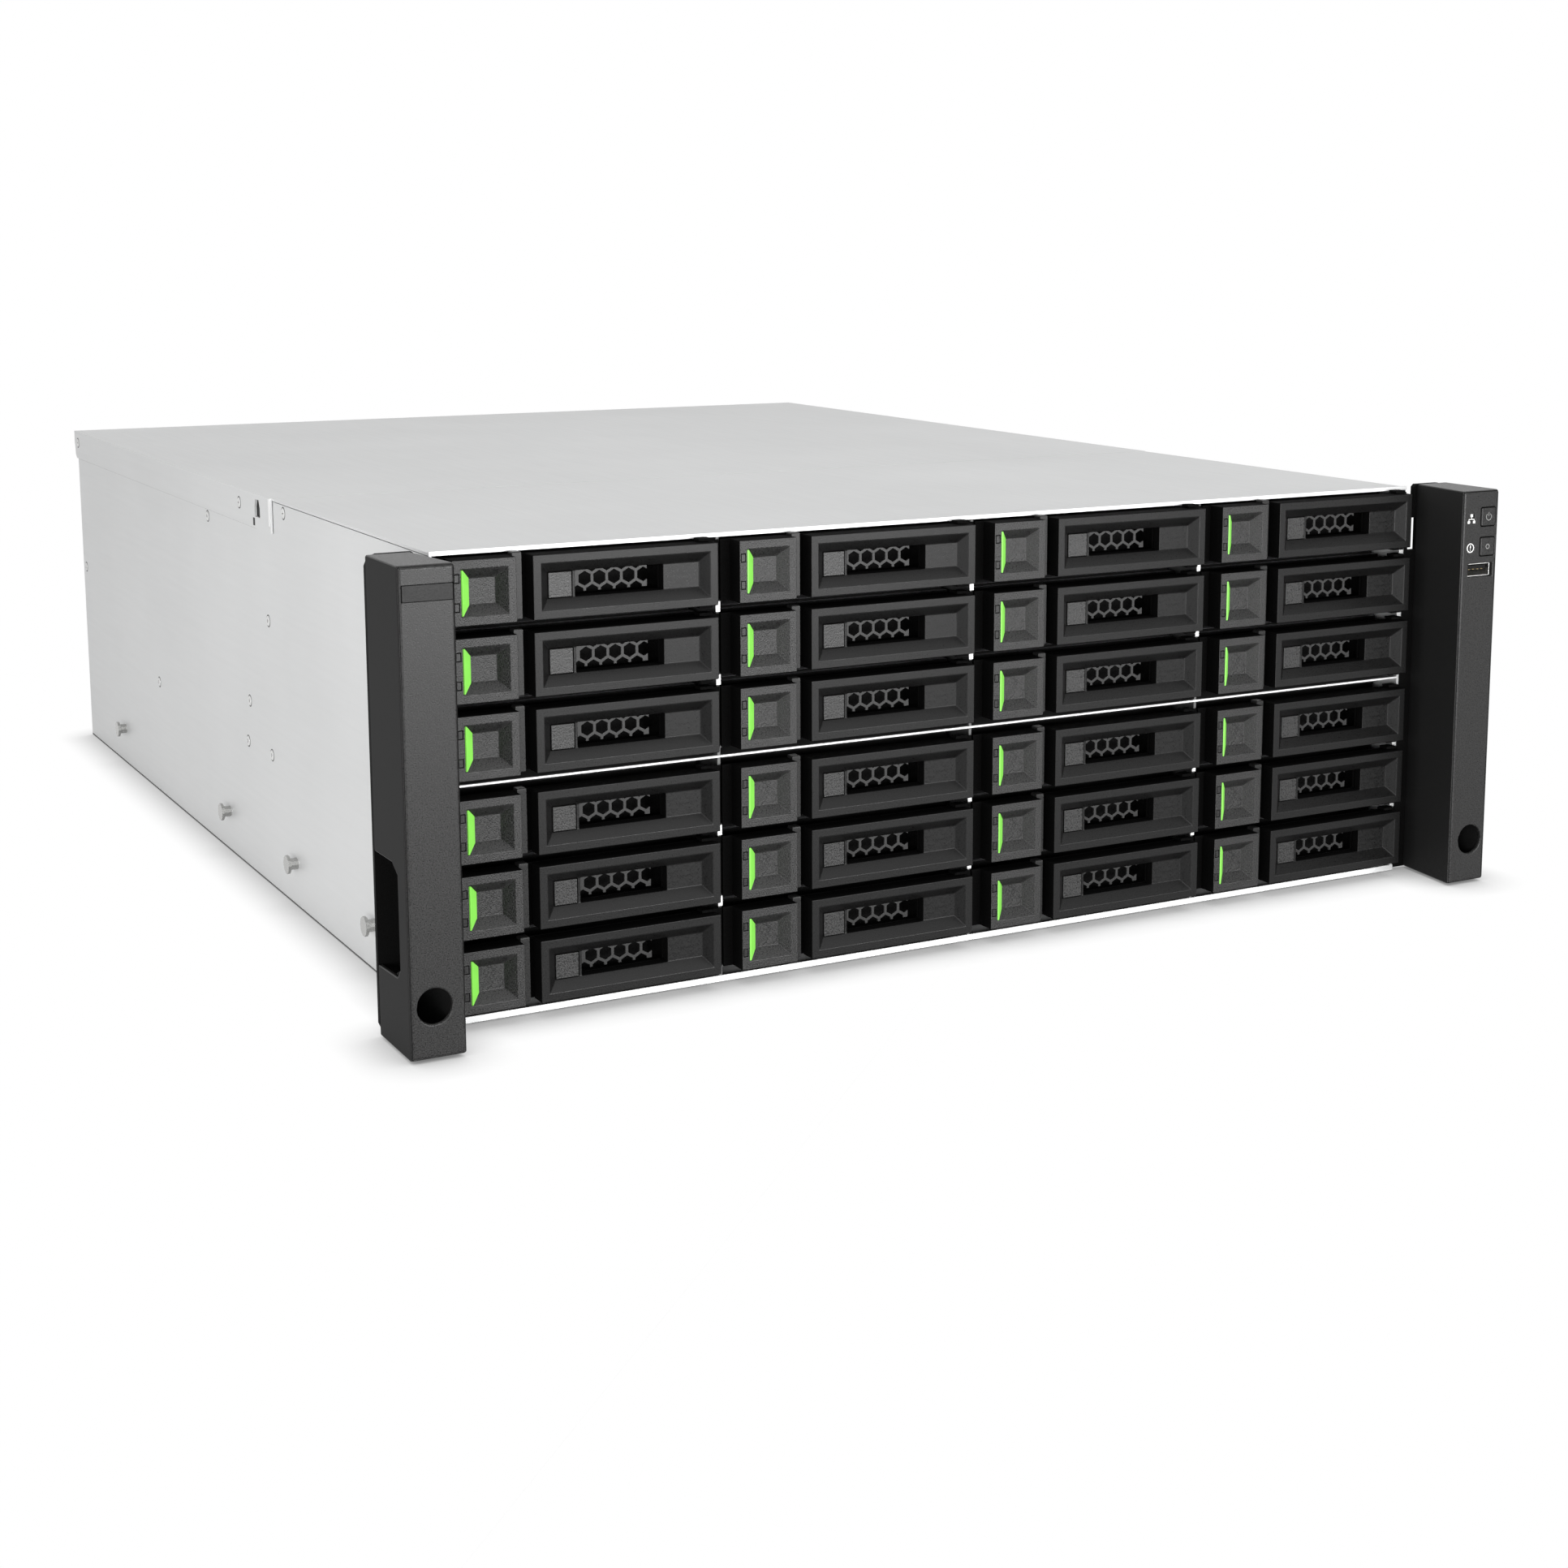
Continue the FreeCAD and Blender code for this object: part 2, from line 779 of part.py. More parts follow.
def lever_handle(name, back):
    """The wide cam handle: bevelled recess, vent window, button opening and a relieved hinge end."""
    front = -cell("bezel_front")
    left, right = -cell("lever_left"), cell("lever_right")
    tall, rim, deep = cell("bezel_tall"), cell("rim"), cell("recess_deep")
    body = new_body(name + "_body")
    plan = new_sketch(body, name + "_plan", "XY_Plane")
    relief = front + cell("relief_long")
    outline(plan, [
        (left, front),
        (right, front),
        (right, relief),
        (right - cell("relief_in"), back),
        (left, back),
    ])
    pad(body, plan, tall)
    mouth = (left + rim, right - rim, rim, tall - rim)
    throat = (left + rim + deep, right - rim - deep + 0.7, rim + deep, tall - rim - deep)
    recess = funnel(name + "_recess", front, front + deep, mouth, throat)
    window_left, window_right, low, high = vent_window()
    window = box(name + "_window", (window_left, front, low), (window_right, 0, high))
    middle, slack = button_middle(), cell("button_slack")
    half_wide, half_tall = cell("button_wide") / 2 + slack, cell("button_tall") / 2 + slack
    opening = box(
        name + "_button_opening",
        (middle - half_wide, front, tall / 2 - half_tall),
        (middle + half_wide, 0, tall / 2 + half_tall),
    )
    return cut(name, body, recess, window, opening)


def hinged_lever():
    """The loose lever, with the hole for its hinge pin."""
    hole_body = new_body("lever_hole_body")
    hole = new_sketch(hole_body, "lever_hole", "XY_Plane", -1)
    outline(hole, round_corners(*hinge_place(), cell("pin_hole"), 12))
    pad(hole_body, hole, cell("bezel_tall") + 2)
    return cut("hinged_lever", lever_handle("loose_lever", -cell("lever_back")), hole_body)


def button_middle():
    return -cell("lever_left") + cell("rim") + cell("recess_deep") + cell("button_from_floor")


def release_button():
    """The square push button in the lever's floor."""
    middle, tall = button_middle(), cell("bezel_tall")
    half_wide, half_tall = cell("button_wide") / 2, cell("button_tall") / 2
    face = -cell("bezel_front") + cell("recess_deep") - cell("button_proud")
    return box(
        "button",
        (middle - half_wide, face, tall / 2 - half_tall),
        (middle + half_wide, face + cell("button_thick"), tall / 2 + half_tall),
    )


def make_carriers():
    """24 carriers. The top row's levers and buttons are sub-parts of their own."""
    block = status_block()
    inside = [light_bar(), vent_grille(), hard_drive()]
    button, loose_lever = release_button(), hinged_lever()
    closed_lever = lever_handle("closed_lever", -cell("bezel_back"))
    with_loose_lever = group("carrier_with_loose_lever", hinged_tray(), block, *inside)
    closed_front = fuse("closed_front", *plain_tray(), block, closed_lever)
    with_closed_lever = group("carrier_with_closed_lever", closed_front, *inside, button)
    for row in ROWS:
        for column in (1, 2, 3, 4):
            source = with_loose_lever if row == 1 else with_closed_lever
            place = (column_middle(column), 0, row_low(row))
            carrier = placed(f"carrier_copy_{row}_{column}", source, place)
            keep(carrier, f"carrier_r{row}c{column}")
            if row == 1:
                keep(placed(f"lever_copy_{column}", loose_lever, place), f"carrier_lever_c{column}")
                keep(placed(f"button_copy_{column}", button, place), f"lever_button_c{column}")


# ---------------------------------------------------------------- rack ears

def make_ear_bracket(side):
    """Bent steel: the rack flange, notched beside the chassis, and a leg riveted to the wall."""
    name = f"{side}_bracket"
    low, high = cell("ear_low"), cell("ear_high")
    outer, inner = cell("ear_outer"), half_chassis + cell("bracket_gap")
    corner, bevel = cell("flange_corner"), cell("flange_bevel")
    tab, notch, thick = cell("flange_tab"), cell("notch_up"), cell("flange_thick")
    body = new_body(name + "_body")
    flange = new_sketch(body, name + "_flange", "XZ_Plane")
    outline(flange, [
        (inner, low),
        (outer - corner, low),
        (outer - bevel, low + bevel),
        (outer, low + corner),
        (outer, high - corner),
        (outer - bevel, high - bevel),
        (outer - corner, high),
        (tab + bevel, high),
        (tab, high - bevel),
        (tab, notch),
        (inner, notch),
    ])
    rectangle(flange, inner + thick, cell("slot_outer"), cell("slot_low"), cell("slot_high"))
    circle(flange, cell("rack_hole_half"), cell("rack_hole_up"), cell("rack_hole_radius"))
    pad(body, flange, thick, reverse=True)
    leg = new_sketch(body, name + "_leg", "XZ_Plane")
    rectangle(leg, inner, inner + cell("leg_thick"), cell("leg_low"), cell("leg_high"))
    pad(body, leg, cell("leg_long"), reverse=True)
    lip_inner = cell("lip_inner")
    lip = new_sketch(body, name + "_lip", "XZ_Plane")
    rectangle(lip, lip_inner, lip_inner + cell("lip_thick"), cell("lip_low"), cell("lip_high"))
    pad(body, lip, cell("lip_reach"))
    shape = body if side == "right" else mirrored(name + "_mirror", body)
    keep(shape, f"ear_bracket_{side}")


STUD_PLACES = (72.0, 174.0, 278.0, 485.0)


def make_ear_cover(side):
    """Moulded cover of the rack flange: hollow, tapered, with an access hole and a grip cut-out."""
    name = f"{side}_cover"
    low, high = cell("ear_low"), cell("ear_high")
    inner, inner_back, outer = cell("ear_inner"), cell("ear_inner_back"), cell("ear_outer")
    depth, shell = cell("ear_depth"), cell("ear_shell")
    body = new_body(name + "_body")
    plan = new_sketch(body, name + "_plan", "XY_Plane", low)
    outline(plan, [(inner, -depth), (outer, -depth), (outer, 0), (inner_back, 0)])
    solid = pad(body, plan, high - low)
    doc.recompute()
    softened = body.newObject("PartDesign::Chamfer", name + "_chamfer")
    softened.Base = (solid, front_edges(body))
    bind(softened, "Size", cell("ear_chamfer"))
    hollow = new_sketch(body, name + "_hollow", "XY_Plane", low + shell)
    outline(hollow, [
        (inner + shell + 0.3, shell - depth),
        (outer - shell, shell - depth),
        (outer - shell, 1),
        (inner_back + shell + 0.1, 1),
    ])
    pocket(body, hollow, high - low - 2 * shell, reverse=True)
    access = new_sketch(body, name + "_access", "XZ_Plane")
    middle = cell("rack_hole_half"), cell("rack_hole_up")
    outline(access, round_corners(*middle, cell("access_radius"), 20))
    pocket(body, access)
    grip = new_sketch(body, name + "_grip", "YZ_Plane", outer)
    grip_low, grip_high, grip_deep = cell("grip_low"), cell("grip_high"), cell("grip_deep")
    outline(grip, [
        (1, grip_low),
        (3.5 - grip_deep, grip_low + 1),
        (-grip_deep, grip_low + 4.6),
        (-grip_deep, grip_high - 3.7),
        (6 - grip_deep, grip_high),
        (1, grip_high - 0.3),
    ])
    pocket(body, grip, shell + 0.5)
    if side == "right":
        cut_control_openings(body, name)
    shape = body if side == "right" else mirrored(name + "_mirror", body)
    keep(shape, f"ear_cover_{side}")


def front_edges(body):
    """Names of the cover's four edges around its front face."""
    front = -cell("ear_depth").number
    return [
        f"Edge{number}"
        for number, edge in enumerate(body.Shape.Edges, 1)
        if all(abs(vertex.Y - front) < 0.01 for vertex in edge.Vertexes)
    ]


def cut_control_openings(body, name):
    """Openings in the right cover for the two keys, the USB socket and the two light pipes."""
    openings = new_sketch(body, name + "_openings", "XZ_Plane", cell("ear_depth"))
    middle, slack = cell("control_middle"), cell("usb_slack")
    half = cell("key_side") / 2 + cell("opening_slack")
    pipe_left, pipe_side = cell("pipe_left"), cell("pipe_side")
    half_pipe = pipe_side / 2 + slack
    for up in (cell("power_up"), cell("locate_up")):
        rectangle(openings, middle - half, middle + half, up - half, up + half)
        rectangle(openings, pipe_left - slack, pipe_left + pipe_side + slack, up - half_pipe, up + half_pipe)
    usb_left, usb_low = cell("usb_left") - slack, cell("usb_low") - slack
    usb_right, usb_high = usb_left + cell("usb_wide") + slack * 2, usb_low + cell("usb_tall") + slack * 2
    rectangle(openings, usb_left, usb_right, usb_low, usb_high)
    pocket(body, openings, cell("ear_shell") + 1)


def make_front_keys():
    """Power and locate keys: a square cap on a stem that ends at its switch."""
    middle, half, thin = cell("control_middle"), cell("key_side") / 2, cell("stem_side") / 2
    face = -cell("ear_depth") - cell("key_proud")
    back, end = face + cell("key_thick"), -cell("stem_end")
    for label, up in (("power_button", cell("power_up")), ("locate_button", cell("locate_up"))):
        cap = box(label + "_cap", (middle - half, face, up - half), (middle + half, back, up + half))
        stem = box(label + "_stem", (middle - thin, back, up - thin), (middle + thin, end, up + thin))
        keep(fuse(label + "_solid", cap, stem), label)


def make_control_board():
    """The small board in the right ear: two switches, two light pipes and the USB socket."""
    front, left, wall = -cell("controls_front"), cell("usb_left"), cell("usb_wall")
    back = front + cell("controls_thick")
    right, low, high = cell("controls_right"), cell("controls_low"), cell("controls_high")
    pieces = [box("control_board", (left, front, low), (right, back, high))]
    middle, half = cell("control_middle"), cell("switch_side") / 2
    switch_front, half_pipe = front - cell("switch_thick"), cell("pipe_side") / 2
    pipe_left, pipe_right = cell("pipe_left"), cell("pipe_left") + cell("pipe_side")
    face = -cell("ear_depth")
    for number, up in enumerate((cell("power_up"), cell("locate_up")), 1):
        pieces.append(box(
            f"switch_{number}",
            (middle - half, switch_front, up - half),
            (middle + half, front, up + half),
        ))
        pieces.append(box(
            f"light_pipe_{number}",
            (pipe_left, face + 0.1, up - half_pipe),
            (pipe_right, front, up + half_pipe),
        ))
    usb_low, usb_high = cell("usb_low"), cell("usb_low") + cell("usb_tall")
    usb_right, usb_back = left + cell("usb_wide"), front - wall * 1.5
    shell = cut(
        "usb_shell",
        box("usb_outside", (left, face, usb_low), (usb_right, front, usb_high)),
        box(
            "usb_inside",
            (left + wall, face - 1, usb_low + wall),
            (usb_right - wall, usb_back, usb_high - wall),
        ),
    )
    tongue_low, tongue_high = usb_high - 2.5, usb_high - 1
    tongue = box("usb_tongue", (left + 1.2, face + 1, tongue_low), (usb_right - 1.2, usb_back, tongue_high))
    pieces.append(fuse("usb_socket", shell, tongue))
    pieces.append(box("board_strut", (left + 2.6, back, low + 2), (left + 10.6, 0, low + 5)))
    keep(group("control_board_pieces", *pieces), "front_control_board")


def make_rail_studs():
    """Shouldered studs that carry the shelf's rails, four on each wall."""
    body = new_body("stud_body")
    neck = cell("stud_neck")
    for name, start, radius, long in (
        ("stud_neck", Size(0), cell("stud_neck_radius"), neck),
        ("stud_head", neck, cell("stud_head_radius"), cell("stud_head")),
    ):
        section = new_sketch(body, name, "YZ_Plane", start)
        outline(section, round_corners(0, 0, radius, 10))
        pad(body, section, long)
    studs = []
    for number, along in enumerate(STUD_PLACES, 1):
        copy = placed(f"stud_{number}", body, (half_chassis, along, cell("stud_up")))
        studs += [copy, mirrored(f"stud_other_{number}", copy)]
    keep(group("rail_stud_set", *studs), "rail_studs")


# ---------------------------------------------------------------- rear modules

rear_face = cell("chassis_depth")
module_face = rear_face + cell("module_proud")


def make_rear_panel():
    """The rear plate with an opening for each module and a row of air slots on top."""
    body = new_body("rear_panel_body")
    thick, slack = cell("wall"), cell("module_slack")
    front = rear_face - thick
    plate = new_sketch(body, "rear_plate", "XZ_Plane", -front)
    rectangle(plate, -inner_wall, inner_wall, cell("floor_plate"), cell("wall_height"))
    pad(body, plate, thick, reverse=True)
    openings = new_sketch(body, "rear_openings", "XZ_Plane", -front)
    half, tall = cell("canister_half") + slack, cell("canister_tall")
    for low in (cell("lower_canister"), cell("upper_canister")):
        rectangle(openings, -half, half, low - cell("slide_slack"), low + tall + slack)
    half_supply, half_fan = cell("supply_wide") / 2 + slack, cell("fan_side") / 2 + slack
    supply_low = cell("supply_low") - slack
    supply_high = cell("supply_low") + cell("supply_tall") + slack
    fan_up = cell("fan_up")
    for side in (-1, 1):
        middle = cell("supply_middle") * side
        rectangle(openings, middle - half_supply, middle + half_supply, supply_low, supply_high)
        middle = cell("fan_middle") * side
        rectangle(openings, middle - half_fan, middle + half_fan, fan_up - half_fan, fan_up + half_fan)
    for number in range(6):
        left = Size(-104.0) + 35.0 * number
        rectangle(openings, left, left + 30, 146, 158)
    pocket(body, openings)
    keep(body, "rear_panel")


def make_module_cage():
    """Guides for the rear modules: two upright walls and the shelves between and beside them."""
    front, back, thick = cell("guide_front"), rear_face - cell("wall"), cell("guide_thick")
    wall_in = cell("canister_half") + 0.5
    pieces = []
    for side, name in ((-1, "left"), (1, "right")):
        middle = (wall_in + thick / 2) * side
        pieces.append(box(
            f"guide_wall_{name}",
            (middle - thick / 2, front, cell("floor_plate")),
            (middle + thick / 2, back, cell("wall_height")),
        ))
    shelf = cell("upper_canister") - 1.4
    pieces.append(box("canister_shelf", (-wall_in, front, shelf), (wall_in, back, shelf + 1)))
    for side, name in ((-1, "left"), (1, "right")):
        start, end = (wall_in + thick) * side, inner_wall * side
        low_x, high_x = (start, end) if side > 0 else (end, start)
        pieces.append(box(f"supply_deck_{name}", (low_x, 360, 6.4), (high_x, back, 7.4)))
        pieces.append(box(f"fan_deck_{name}", (low_x, 510, 60.0), (high_x, back, 61.0)))
    keep(group("module_cage_pieces", *pieces), "module_cage")


def make_canister(label, low):
    """A controller canister: case with recessed host ports and a notch for its lever."""
    half, tall = cell("canister_half"), cell("canister_tall")
    body = new_body(label + "_body")
    face = new_sketch(body, label + "_face", "XZ_Plane", -module_face)
    rectangle(face, -half, half, low, low + tall)
    pad(body, face, cell("canister_long"))
    ports = new_sketch(body, label + "_ports", "XZ_Plane", -module_face)
    port_low = low + cell("port_up")
    for number in range(4):
        left = cell("port_first") + cell("port_pitch") * number
        rectangle(ports, left, left + cell("port_wide"), port_low, port_low + cell("port_tall"))
    service_left, service_low = cell("service_left"), low + cell("service_up")
    service_right, service_high = service_left + cell("service_wide"), service_low + cell("service_tall")
    rectangle(ports, service_left, service_right, service_low, service_high)
    pocket(body, ports, cell("port_deep"), reverse=True)
    pivot, pivot_back = half - cell("pivot_in"), rear_face + cell("pivot_behind")
    foot, head = low + cell("arm_up"), low + cell("arm_up") + cell("arm_tall")
    slack, lug = cell("slide_slack"), Size(2)
    lugs = [
        box(
            f"{label}_lug_{where}",
            (pivot - 3, module_face, start),
            (pivot + 3, pivot_back + 3, start + lug),
        )
        for where, start in (("low", foot - slack - lug), ("high", head + slack))
    ]
    hinge = pin(label + "_pin", cell("arm_pin_radius"), (pivot, pivot_back), foot - 1, head + 1)
    keep(fuse(label + "_solid", body, *lugs, hinge), label)
    make_canister_lever(label.replace("controller", "controller_lever"), pivot, pivot_back, foot)


def make_canister_lever(label, pivot, pivot_back, foot):
    """The canister's extraction lever: a cranked arm with a finger tab, on its hinge pin."""
    body = new_body(label + "_body")
    plan = new_sketch(body, label + "_plan", "XY_Plane", foot)
    near = pivot_back - 3.3
    far = near + cell("arm_thick")
    outline(plan, [
        (pivot - 100, near + 6),
        (pivot - 84, near + 6),
        (pivot - 78, near),
        (pivot + 1.4, near),
        (pivot + 3.3, near + 1.9),
        (pivot + 3.3, far + 1.7),
        (pivot + 1.4, far + 3.6),
        (pivot - 1.4, far + 3.6),
        (pivot - 5, far),
        (pivot - 76, far),
        (pivot - 82, far + 6),
        (pivot - 100, far + 6),
    ])
    pad(body, plan, cell("arm_tall"))
    hole = new_sketch(body, label + "_hole", "XY_Plane", foot)
    outline(hole, round_corners(pivot, pivot_back, cell("arm_hole_radius"), 12))
    pocket(body, hole)
    keep(body, label)


def make_supply(side, name):
    """A power supply: case with an inlet recess, a fan grille and a fixed pull handle."""
    label = f"psu_{name}"
    half, low, tall = cell("supply_wide") / 2, cell("supply_low"), cell("supply_tall")
    middle = cell("supply_middle") * side
    back = module_face
    body = new_body(label + "_body")
    face = new_sketch(body, label + "_face", "XZ_Plane", -back)
    rectangle(face, middle - half, middle + half, low, low + tall)
    pad(body, face, cell("supply_long"))
    inlet = new_sketch(body, label + "_inlet", "XZ_Plane", -back)
    inlet_left, inlet_low = middle + cell("inlet_left"), low + cell("inlet_up")
    inlet_right, inlet_high = inlet_left + cell("inlet_wide"), inlet_low + cell("inlet_tall")
    rectangle(inlet, inlet_left, inlet_right, inlet_low, inlet_high)
    pocket(body, inlet, cell("inlet_deep"), reverse=True)
    vents = new_sketch(body, label + "_vents", "XZ_Plane", -back)
    for number in range(6):
        rectangle(vents, middle - 36, middle + 2, low + 6 + 5 * number, low + 8.6 + 5 * number)
    latch_left, latch_low, slack = middle + cell("latch_left"), low + cell("latch_up"), cell("slide_slack")
    slot_left, slot_low = latch_left + 2 - slack, latch_low - slack
    slot_high = latch_low + cell("latch_thick") + slack
    rectangle(vents, slot_left, slot_left + 9.8, slot_low, slot_high)
    pocket(body, vents, cell("vent_deep"), reverse=True)
    thick, reach = cell("handle_bar"), back + cell("handle_reach")
    grip_low, grip_high = low + cell("handle_up"), low + cell("handle_up") + thick
    grip_left = middle + cell("handle_left")
    grip_right = grip_left + cell("handle_wide")
    bar = box(label + "_bar", (grip_left, reach, grip_low), (grip_right, reach + thick, grip_high))
    legs = [
        box(f"{label}_leg_{number}", (left, back, grip_low), (left + thick, reach, grip_high))
        for number, left in enumerate((grip_left, grip_right - thick))
    ]
    keep(fuse(label + "_solid", body, bar, *legs), label)
    make_supply_latch(f"psu_latch_{name}", latch_left, back, latch_low)


def make_supply_latch(label, left, back, foot):
    """The thumb latch, guided by a tongue in the supply's slot."""
    body = new_body(label + "_body")
    plan = new_sketch(body, label + "_plan", "XY_Plane", foot)
    outline(plan, [
        (left, back + 0.4),
        (left + 2, back + 0.4),
        (left + 2, back - 4),
        (left + 8, back - 4),
        (left + 8, back + 0.4),
        (left + 11, back + 0.4),
        (left + 11, back + 3),
        (left + 3, back + 3),
        (left + 3, back + 18),
        (left, back + 20),
    ])
    pad(body, plan, cell("latch_thick"))
    keep(body, label)


def make_fan(side, name):
    """A fan module: square frame with a round bore and a slotted guard, and its bladed rotor."""
    label = f"fan_module_{name}"
    half, deep, bore = cell("fan_side") / 2, cell("fan_deep"), cell("fan_bore")
    middle, up = cell("fan_middle") * side, cell("fan_up")
    back = module_face
    body = new_body(label + "_body")
    face = new_sketch(body, label + "_face", "XZ_Plane", -back)
    rectangle(face, middle - half, middle + half, up - half, up + half)
    pad(body, face, deep)
    duct = new_sketch(body, label + "_duct", "XZ_Plane", -(back - 4))
    outline(duct, round_corners(middle, up, bore, 20))
    pocket(body, duct, deep, reverse=True)
    guard = new_sketch(body, label + "_guard", "XZ_Plane", -back)
    for number, half_long in enumerate((20, 32, 37, 37, 32, 20)):
        start = up - 33 + 11.4 * number
        rectangle(guard, middle - half_long, middle + half_long, start, start + 8.6)
    pocket(body, guard, cell("vent_deep"), reverse=True)
    boss = new_sketch(body, label + "_boss", "XZ_Plane", -(back - 3))
    rectangle(boss, middle - 4, middle + 4, up - 4, up + 4)
    pad(body, boss, 7)
    shaft = new_sketch(body, label + "_shaft", "XZ_Plane", -(back - 10))
    outline(shaft, round_corners(middle, up, cell("shaft_radius"), 8))
    pad(body, shaft, cell("shaft_long"))
    pull = box(label + "_pull", (middle - 20, back, up + 39), (middle + 20, back + 12, up + 42))
    keep(fuse(label + "_solid", body, pull), label)
    make_rotor(f"fan_rotor_{name}", middle, back - 10.4, up)


def make_rotor(label, middle, end, up):
    """A seven-blade rotor: a bored hub drum and one pitched blade repeated round it."""
    body = new_body(label + "_body")
    hub_radius, long, lean = cell("hub_radius"), cell("rotor_long"), 48 * pi / 180
    hub = new_sketch(body, label + "_hub", "XZ_Plane")
    outline(hub, round_corners(0, 0, hub_radius, 20))
    pad(body, hub, long)
    bore = new_sketch(body, label + "_bore", "XZ_Plane")
    outline(bore, round_corners(0, 0, cell("shaft_bore"), 8))
    pocket(body, bore, cell("shaft_long") + 1, reverse=True)
    chord, thick = Vector(cos(lean), sin(lean), 0) * 12, Vector(-sin(lean), cos(lean), 0) * 0.9
    section = new_sketch(body, label + "_section", "YZ_Plane", hub_radius - 2)
    corners = [chord * s + thick * t for s, t in ((-1, -1), (1, -1), (1, 1), (-1, 1))]
    outline(section, [(-long / 2 + corner.x, corner.y) for corner in corners])
    blade = pad(body, section, cell("blade_radius") - hub_radius + 2)
    doc.recompute()
    ring = body.newObject("PartDesign::PolarPattern", label + "_ring")
    ring.Originals = [blade]
    ring.Axis = (hub, ["N_Axis"])
    ring.Angle = 360
    ring.Occurrences = 7
    body.Tip = ring
    bind_place(body, (middle, end, up))
    keep(body, label)


# ---------------------------------------------------------------- build and write

def build_all():
    make_chassis_pan()
    make_front_top_cover()
    make_rear_top_cover()
    make_mid_shelf()
    make_drive_cage()
    make_backplane()
    make_carriers()
    for side in ("left", "right"):
        make_ear_bracket(side)
        make_ear_cover(side)
    make_front_keys()
    make_control_board()
    make_rail_studs()
    make_rear_panel()
    make_module_cage()
    make_canister("controller_lower", cell("lower_canister"))
    make_canister("controller_upper", cell("upper_canister"))
    for side, name in ((-1, "left"), (1, "right")):
        make_supply(side, name)
        make_fan(side, name)


def check_all():
    """Stops if anything in the document failed, or if a sub-part has no sound shape."""
    for item in doc.Objects:
        if "Invalid" in item.State or "Error" in item.State:
            raise ValueError(f"{item.Label}: {item.State}")
    labels = [item.Label for item in sub_parts]
    if len(set(labels)) != len(labels):
        raise ValueError("two sub-parts share a label")
    for item in sub_parts:
        if item.Shape.isNull() or not item.Shape.isValid():
            raise ValueError(f"{item.Label} has no valid shape")


build_all()
doc.recompute()
check_all()
os.makedirs("parts", exist_ok=True)
for item in sub_parts:
    item.Shape.exportStep(f"parts/{item.Label}.step")
print(len(sub_parts), "sub-parts written")
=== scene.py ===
"""The looks of the disk shelf enclosure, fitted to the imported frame. Sizes are in millimetres
until a mesh is finished; put() takes its place in metres.
"""

from math import cos, pi, radians, sin, sqrt

import bmesh
import bpy
from mathutils import Matrix, Vector


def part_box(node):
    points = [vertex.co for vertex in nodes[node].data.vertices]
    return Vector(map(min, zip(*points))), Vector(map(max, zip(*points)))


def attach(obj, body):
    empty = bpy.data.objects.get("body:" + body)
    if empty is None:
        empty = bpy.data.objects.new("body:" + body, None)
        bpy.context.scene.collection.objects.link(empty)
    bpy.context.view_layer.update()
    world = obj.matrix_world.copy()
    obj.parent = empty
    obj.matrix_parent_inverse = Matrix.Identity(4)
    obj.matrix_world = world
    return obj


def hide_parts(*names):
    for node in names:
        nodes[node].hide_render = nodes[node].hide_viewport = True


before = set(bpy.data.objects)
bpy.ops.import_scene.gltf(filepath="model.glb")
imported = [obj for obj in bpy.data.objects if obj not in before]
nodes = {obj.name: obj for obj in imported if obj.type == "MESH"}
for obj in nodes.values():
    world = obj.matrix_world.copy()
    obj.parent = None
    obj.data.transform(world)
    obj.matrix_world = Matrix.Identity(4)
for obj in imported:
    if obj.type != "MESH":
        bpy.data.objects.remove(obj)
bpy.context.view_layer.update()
MM = 0.001


# ---------------------------------------------------------------- materials

# Features of each finish to the metre
SPARK, CLOUD, ROLLED, BRUSHED, SHEARED, CORE, TRACKS, INK = 2300, 9, 420, 900, 600, 160, 700, 3000
SIDEWAYS = 0.95  # how far a normal leans left or right before its face is a side, which takes painted side shade
